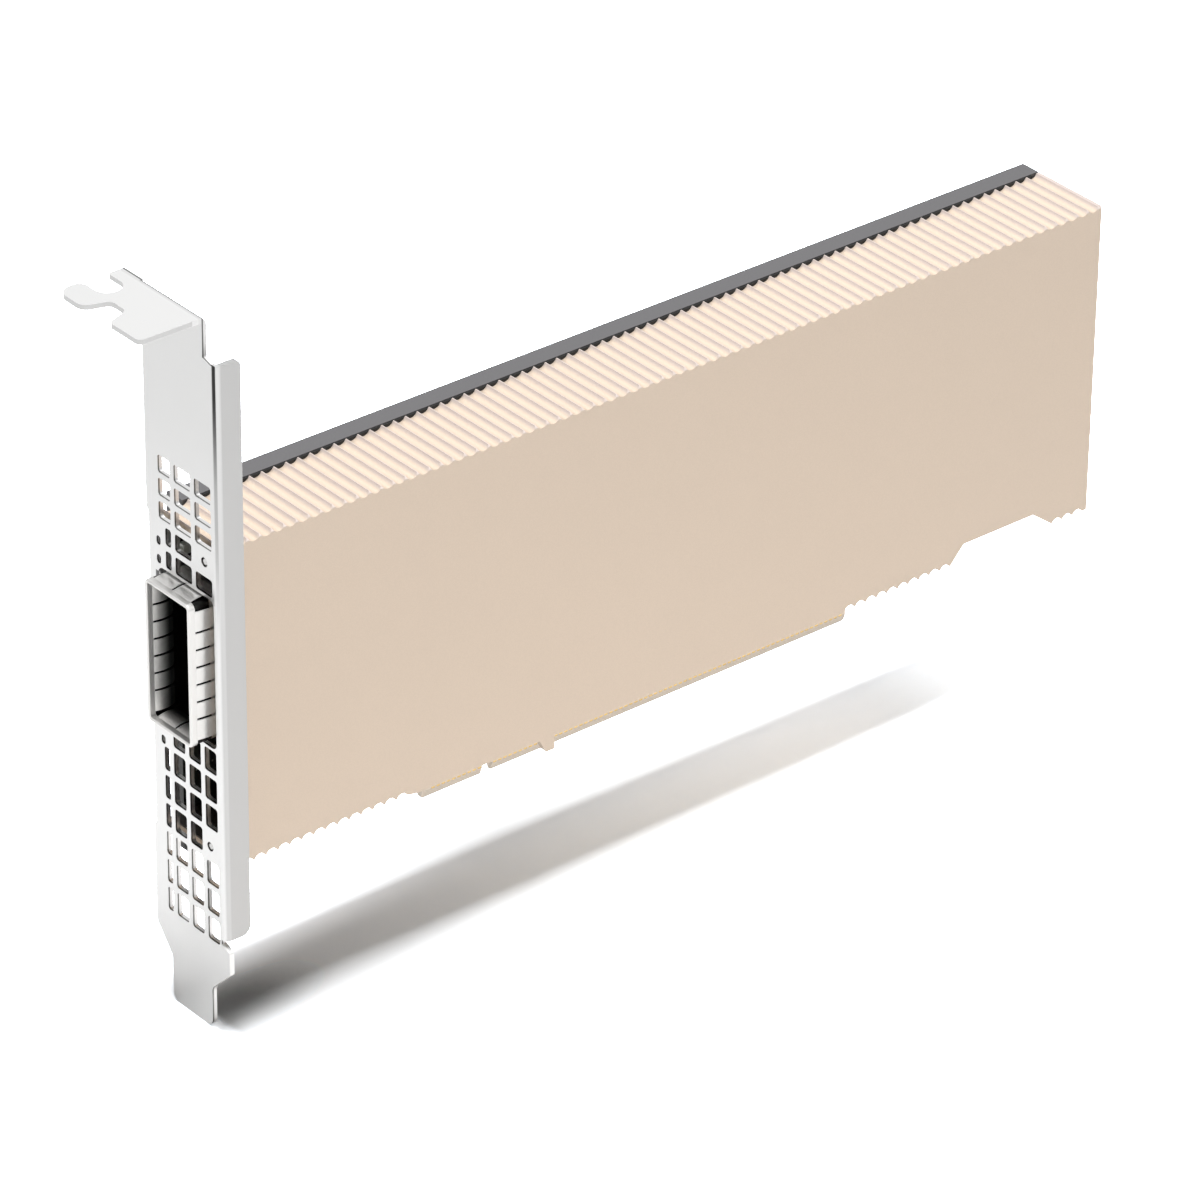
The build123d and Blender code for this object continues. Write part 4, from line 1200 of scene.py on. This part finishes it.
@dataclass
class Studio:
    """Pale floor, surroundings that are brighter above than at the horizon, and soft lamps."""

    floor_level: float = -15.02 * MM
    floor_reach: float = 6.0
    # Painted light on the floor: the gain spans lighten the cast shadow by place, and the gain colour is
    # bluer to cancel the warm light that the cover throws into the shadow.
    floor_gain: tuple[float, float] = (0.04, 3.0)
    gain_span: tuple[float, float] = (-0.06, 0.135)
    front_gain_span: tuple[float, float] = (-0.014, -0.034)
    back_gain_span: tuple[float, float] = (0.003, 0.014)
    outer_gain_span: tuple[float, float] = (-0.058, -0.063)
    far_gain_span: tuple[float, float] = (0.075, 0.112)
    corner_gain_span: tuple[float, float] = (0.010, -0.055)
    corner_gain_side: tuple[float, float] = (-0.005, 0.006)
    # Painted shadow on the floor under the bracket's tip.
    tip_place: tuple[float, float] = (-0.056, -0.009)
    tip_reach: tuple[float, float] = (0.022, 0.009)
    tip_edge: tuple[float, float] = (-0.0612, -0.0585)
    tip_shade: float = 0.75
    floor_colour: Colour = (0.965, 0.985, 1.0)
    gain_colour: Colour = (0.88, 0.94, 1.0)
    sky_light: tuple[float, float] = (0.06, 0.20)
    sky_glossy: tuple[float, float] = (0.55, 1.16)
    sky_top: float = 0.6
    lamps: tuple[SoftBox, ...] = (
        SoftBox("key_above", (0.02, -0.10, 1.50), (0.02, 0.0, 0.0), 0.42, 0.42, 21.5),
        SoftBox("fill_front", (-0.50, -1.55, 0.55), (0.02, 0.0, 0.04), 1.2, 0.9, 3.6),
        SoftBox("fill_left", (-1.60, 0.10, 0.60), (-0.06, 0.0, 0.04), 0.9, 0.9, 2.0),
    )

    def build(self) -> None:
        """Makes the floor, the world and the lamps."""
        self.build_floor()
        self.build_world()
        for lamp in self.lamps:
            lamp.build()
        bpy.context.scene.view_settings.view_transform = "Standard"

    def build_floor(self) -> None:
        """Makes a wide square floor at the level of the bracket's tip."""
        reach = self.floor_reach
        corners = np.array([(-reach, -reach), (reach, -reach), (reach, reach), (-reach, reach)])
        points = np.column_stack([corners, np.full(4, self.floor_level)])
        mesh = bpy.data.meshes.new("floor")
        mesh.from_pydata(points.tolist(), [], [(0, 1, 2, 3)])
        mesh.materials.append(self.floor_material())
        floor = bpy.data.objects.new("floor", mesh)
        bpy.context.scene.collection.objects.link(floor)

    def floor_material(self) -> bpy.types.Material:
        """White floor that keeps the card's shadow.

        Seen by the camera it gives back more light than falls on it, a painted light that makes it white
        outside the shadow. Under the bracket's tip, where the shadow is darkest, a painted shadow makes it
        give back less.

        Returns:
            The material.
        """
        graph = ShaderGraph("floor_white")
        graph.set(Base_Color=(1.0, 1.0, 1.0), Roughness=0.9, Specular_IOR_Level=0.0)
        plain, gain, black = (
            graph.node("ShaderNodeBsdfDiffuse", {}, {"Color": colour})
            for colour in (self.floor_colour, self.gain_colour, (0.0, 0.0, 0.0))
        )
        twice = graph.node("ShaderNodeAddShader", {}, {0: gain, 1: gain})
        most = graph.node("ShaderNodeAddShader", {}, {0: twice, 1: twice})
        spread = graph.node("ShaderNodeMixShader", {}, {0: self.painted_gain_share(graph), 2: most})
        # Painted shadow: near the bracket's tip the floor turns partly black.
        under = graph.node("ShaderNodeMixShader", {}, {0: self.tip_painted_shadow(graph), 1: plain, 2: black})
        bright = graph.node("ShaderNodeAddShader", {}, {0: under, 1: spread})
        seen = graph.node("ShaderNodeLightPath", {}, {}, "Is Camera Ray")
        ground = Shade(graph, graph.shader.outputs["BSDF"])
        result = graph.node("ShaderNodeMixShader", {}, {0: seen, 1: ground, 2: bright})
        graph.feed(graph.output.inputs["Surface"], result)
        return graph.material

    def painted_gain_share(self, graph: ShaderGraph) -> Shade:
        """How much of the fourfold gain a place has.

        The painted gain grows along the card, so that the cast shadow fades there, and is full beside the
        card, before the bracket and past the far end.

        Args:
            graph: The graph of the floor's material.

        Returns:
            The share.
        """
        x, y = graph.axis("X"), graph.axis("Y")
        low, high = (gain / 4.0 for gain in self.floor_gain)
        beside = y.step(*self.front_gain_span) + y.step(*self.back_gain_span)
        past_ends = x.step(*self.outer_gain_span) + x.step(*self.far_gain_span)
        corner = x.step(*self.corner_gain_span) * y.step(*self.corner_gain_side)
        return x.step(*self.gain_span) * (high - low) + (beside + past_ends + corner) * high + low

    def tip_painted_shadow(self, graph: ShaderGraph) -> Shade:
        """How much painted shadow the floor has at the bracket's tip: full in the middle of an ellipse,
        none outside.

        Args:
            graph: The graph of the floor's material.

        Returns:
            The share of black.
        """
        x, y = graph.axis("X"), graph.axis("Y")
        (tip_x, tip_y), (reach_x, reach_y) = self.tip_place, self.tip_reach
        away = (((x - tip_x) / reach_x) ** 2.0 + ((y - tip_y) / reach_y) ** 2.0) ** 0.5
        return away.step(1.0, 0.1) * x.step(*self.tip_edge) * self.tip_shade

    def build_world(self) -> None:
        """White for the camera, and for all other rays a sky that is brighter above."""
        world = bpy.data.worlds.new("white_studio")
        bpy.context.scene.world = world
        graph = NodeGraph(world)
        direction = graph.node("ShaderNodeTexCoord", {}, {}, "Generated")
        height = graph.node("ShaderNodeSeparateXYZ", {}, {0: direction}, "Z")
        camera_ray, glossy_ray = (
            graph.node("ShaderNodeLightPath", {}, {}, f"Is {kind} Ray") for kind in ("Camera", "Glossy")
        )
        light, glossy = (
            graph.node(
                "ShaderNodeMapRange",
                {"interpolation_type": "SMOOTHSTEP"},
                {"Value": height, "From Max": self.sky_top, "To Min": low, "To Max": high},
            )
            for low, high in (self.sky_light, self.sky_glossy)
        )
        sky = graph.node("ShaderNodeMix", {}, {0: glossy_ray, 2: light, 3: glossy})
        strength = graph.node("ShaderNodeMix", {}, {0: camera_ray, 2: sky, 3: 1.0})
        back = graph.node("ShaderNodeBackground", {}, {"Color": (1.0, 1.0, 1.0), "Strength": strength})
        output = graph.tree.nodes.new("ShaderNodeOutputWorld")
        graph.feed(output.inputs["Surface"], back)


def main() -> None:
    """Builds the studio and the card's pieces in order."""
    logging.basicConfig(level=logging.INFO, format="%(name)s: %(message)s")
    PhotoCamera().build()
    Studio().build()
    dress = CardDress()
    dress.dress()
    SpringCollar().build(dress.material("spring_collar"))
    LobedScrews().build(dress.material("cover_screws"), ("cover_screws", "bracket_screws"))
    ContactPads().build(dress.material("edge_contacts"))
    LOG.info("all pieces are built")


if __name__ == "__main__":
    main()
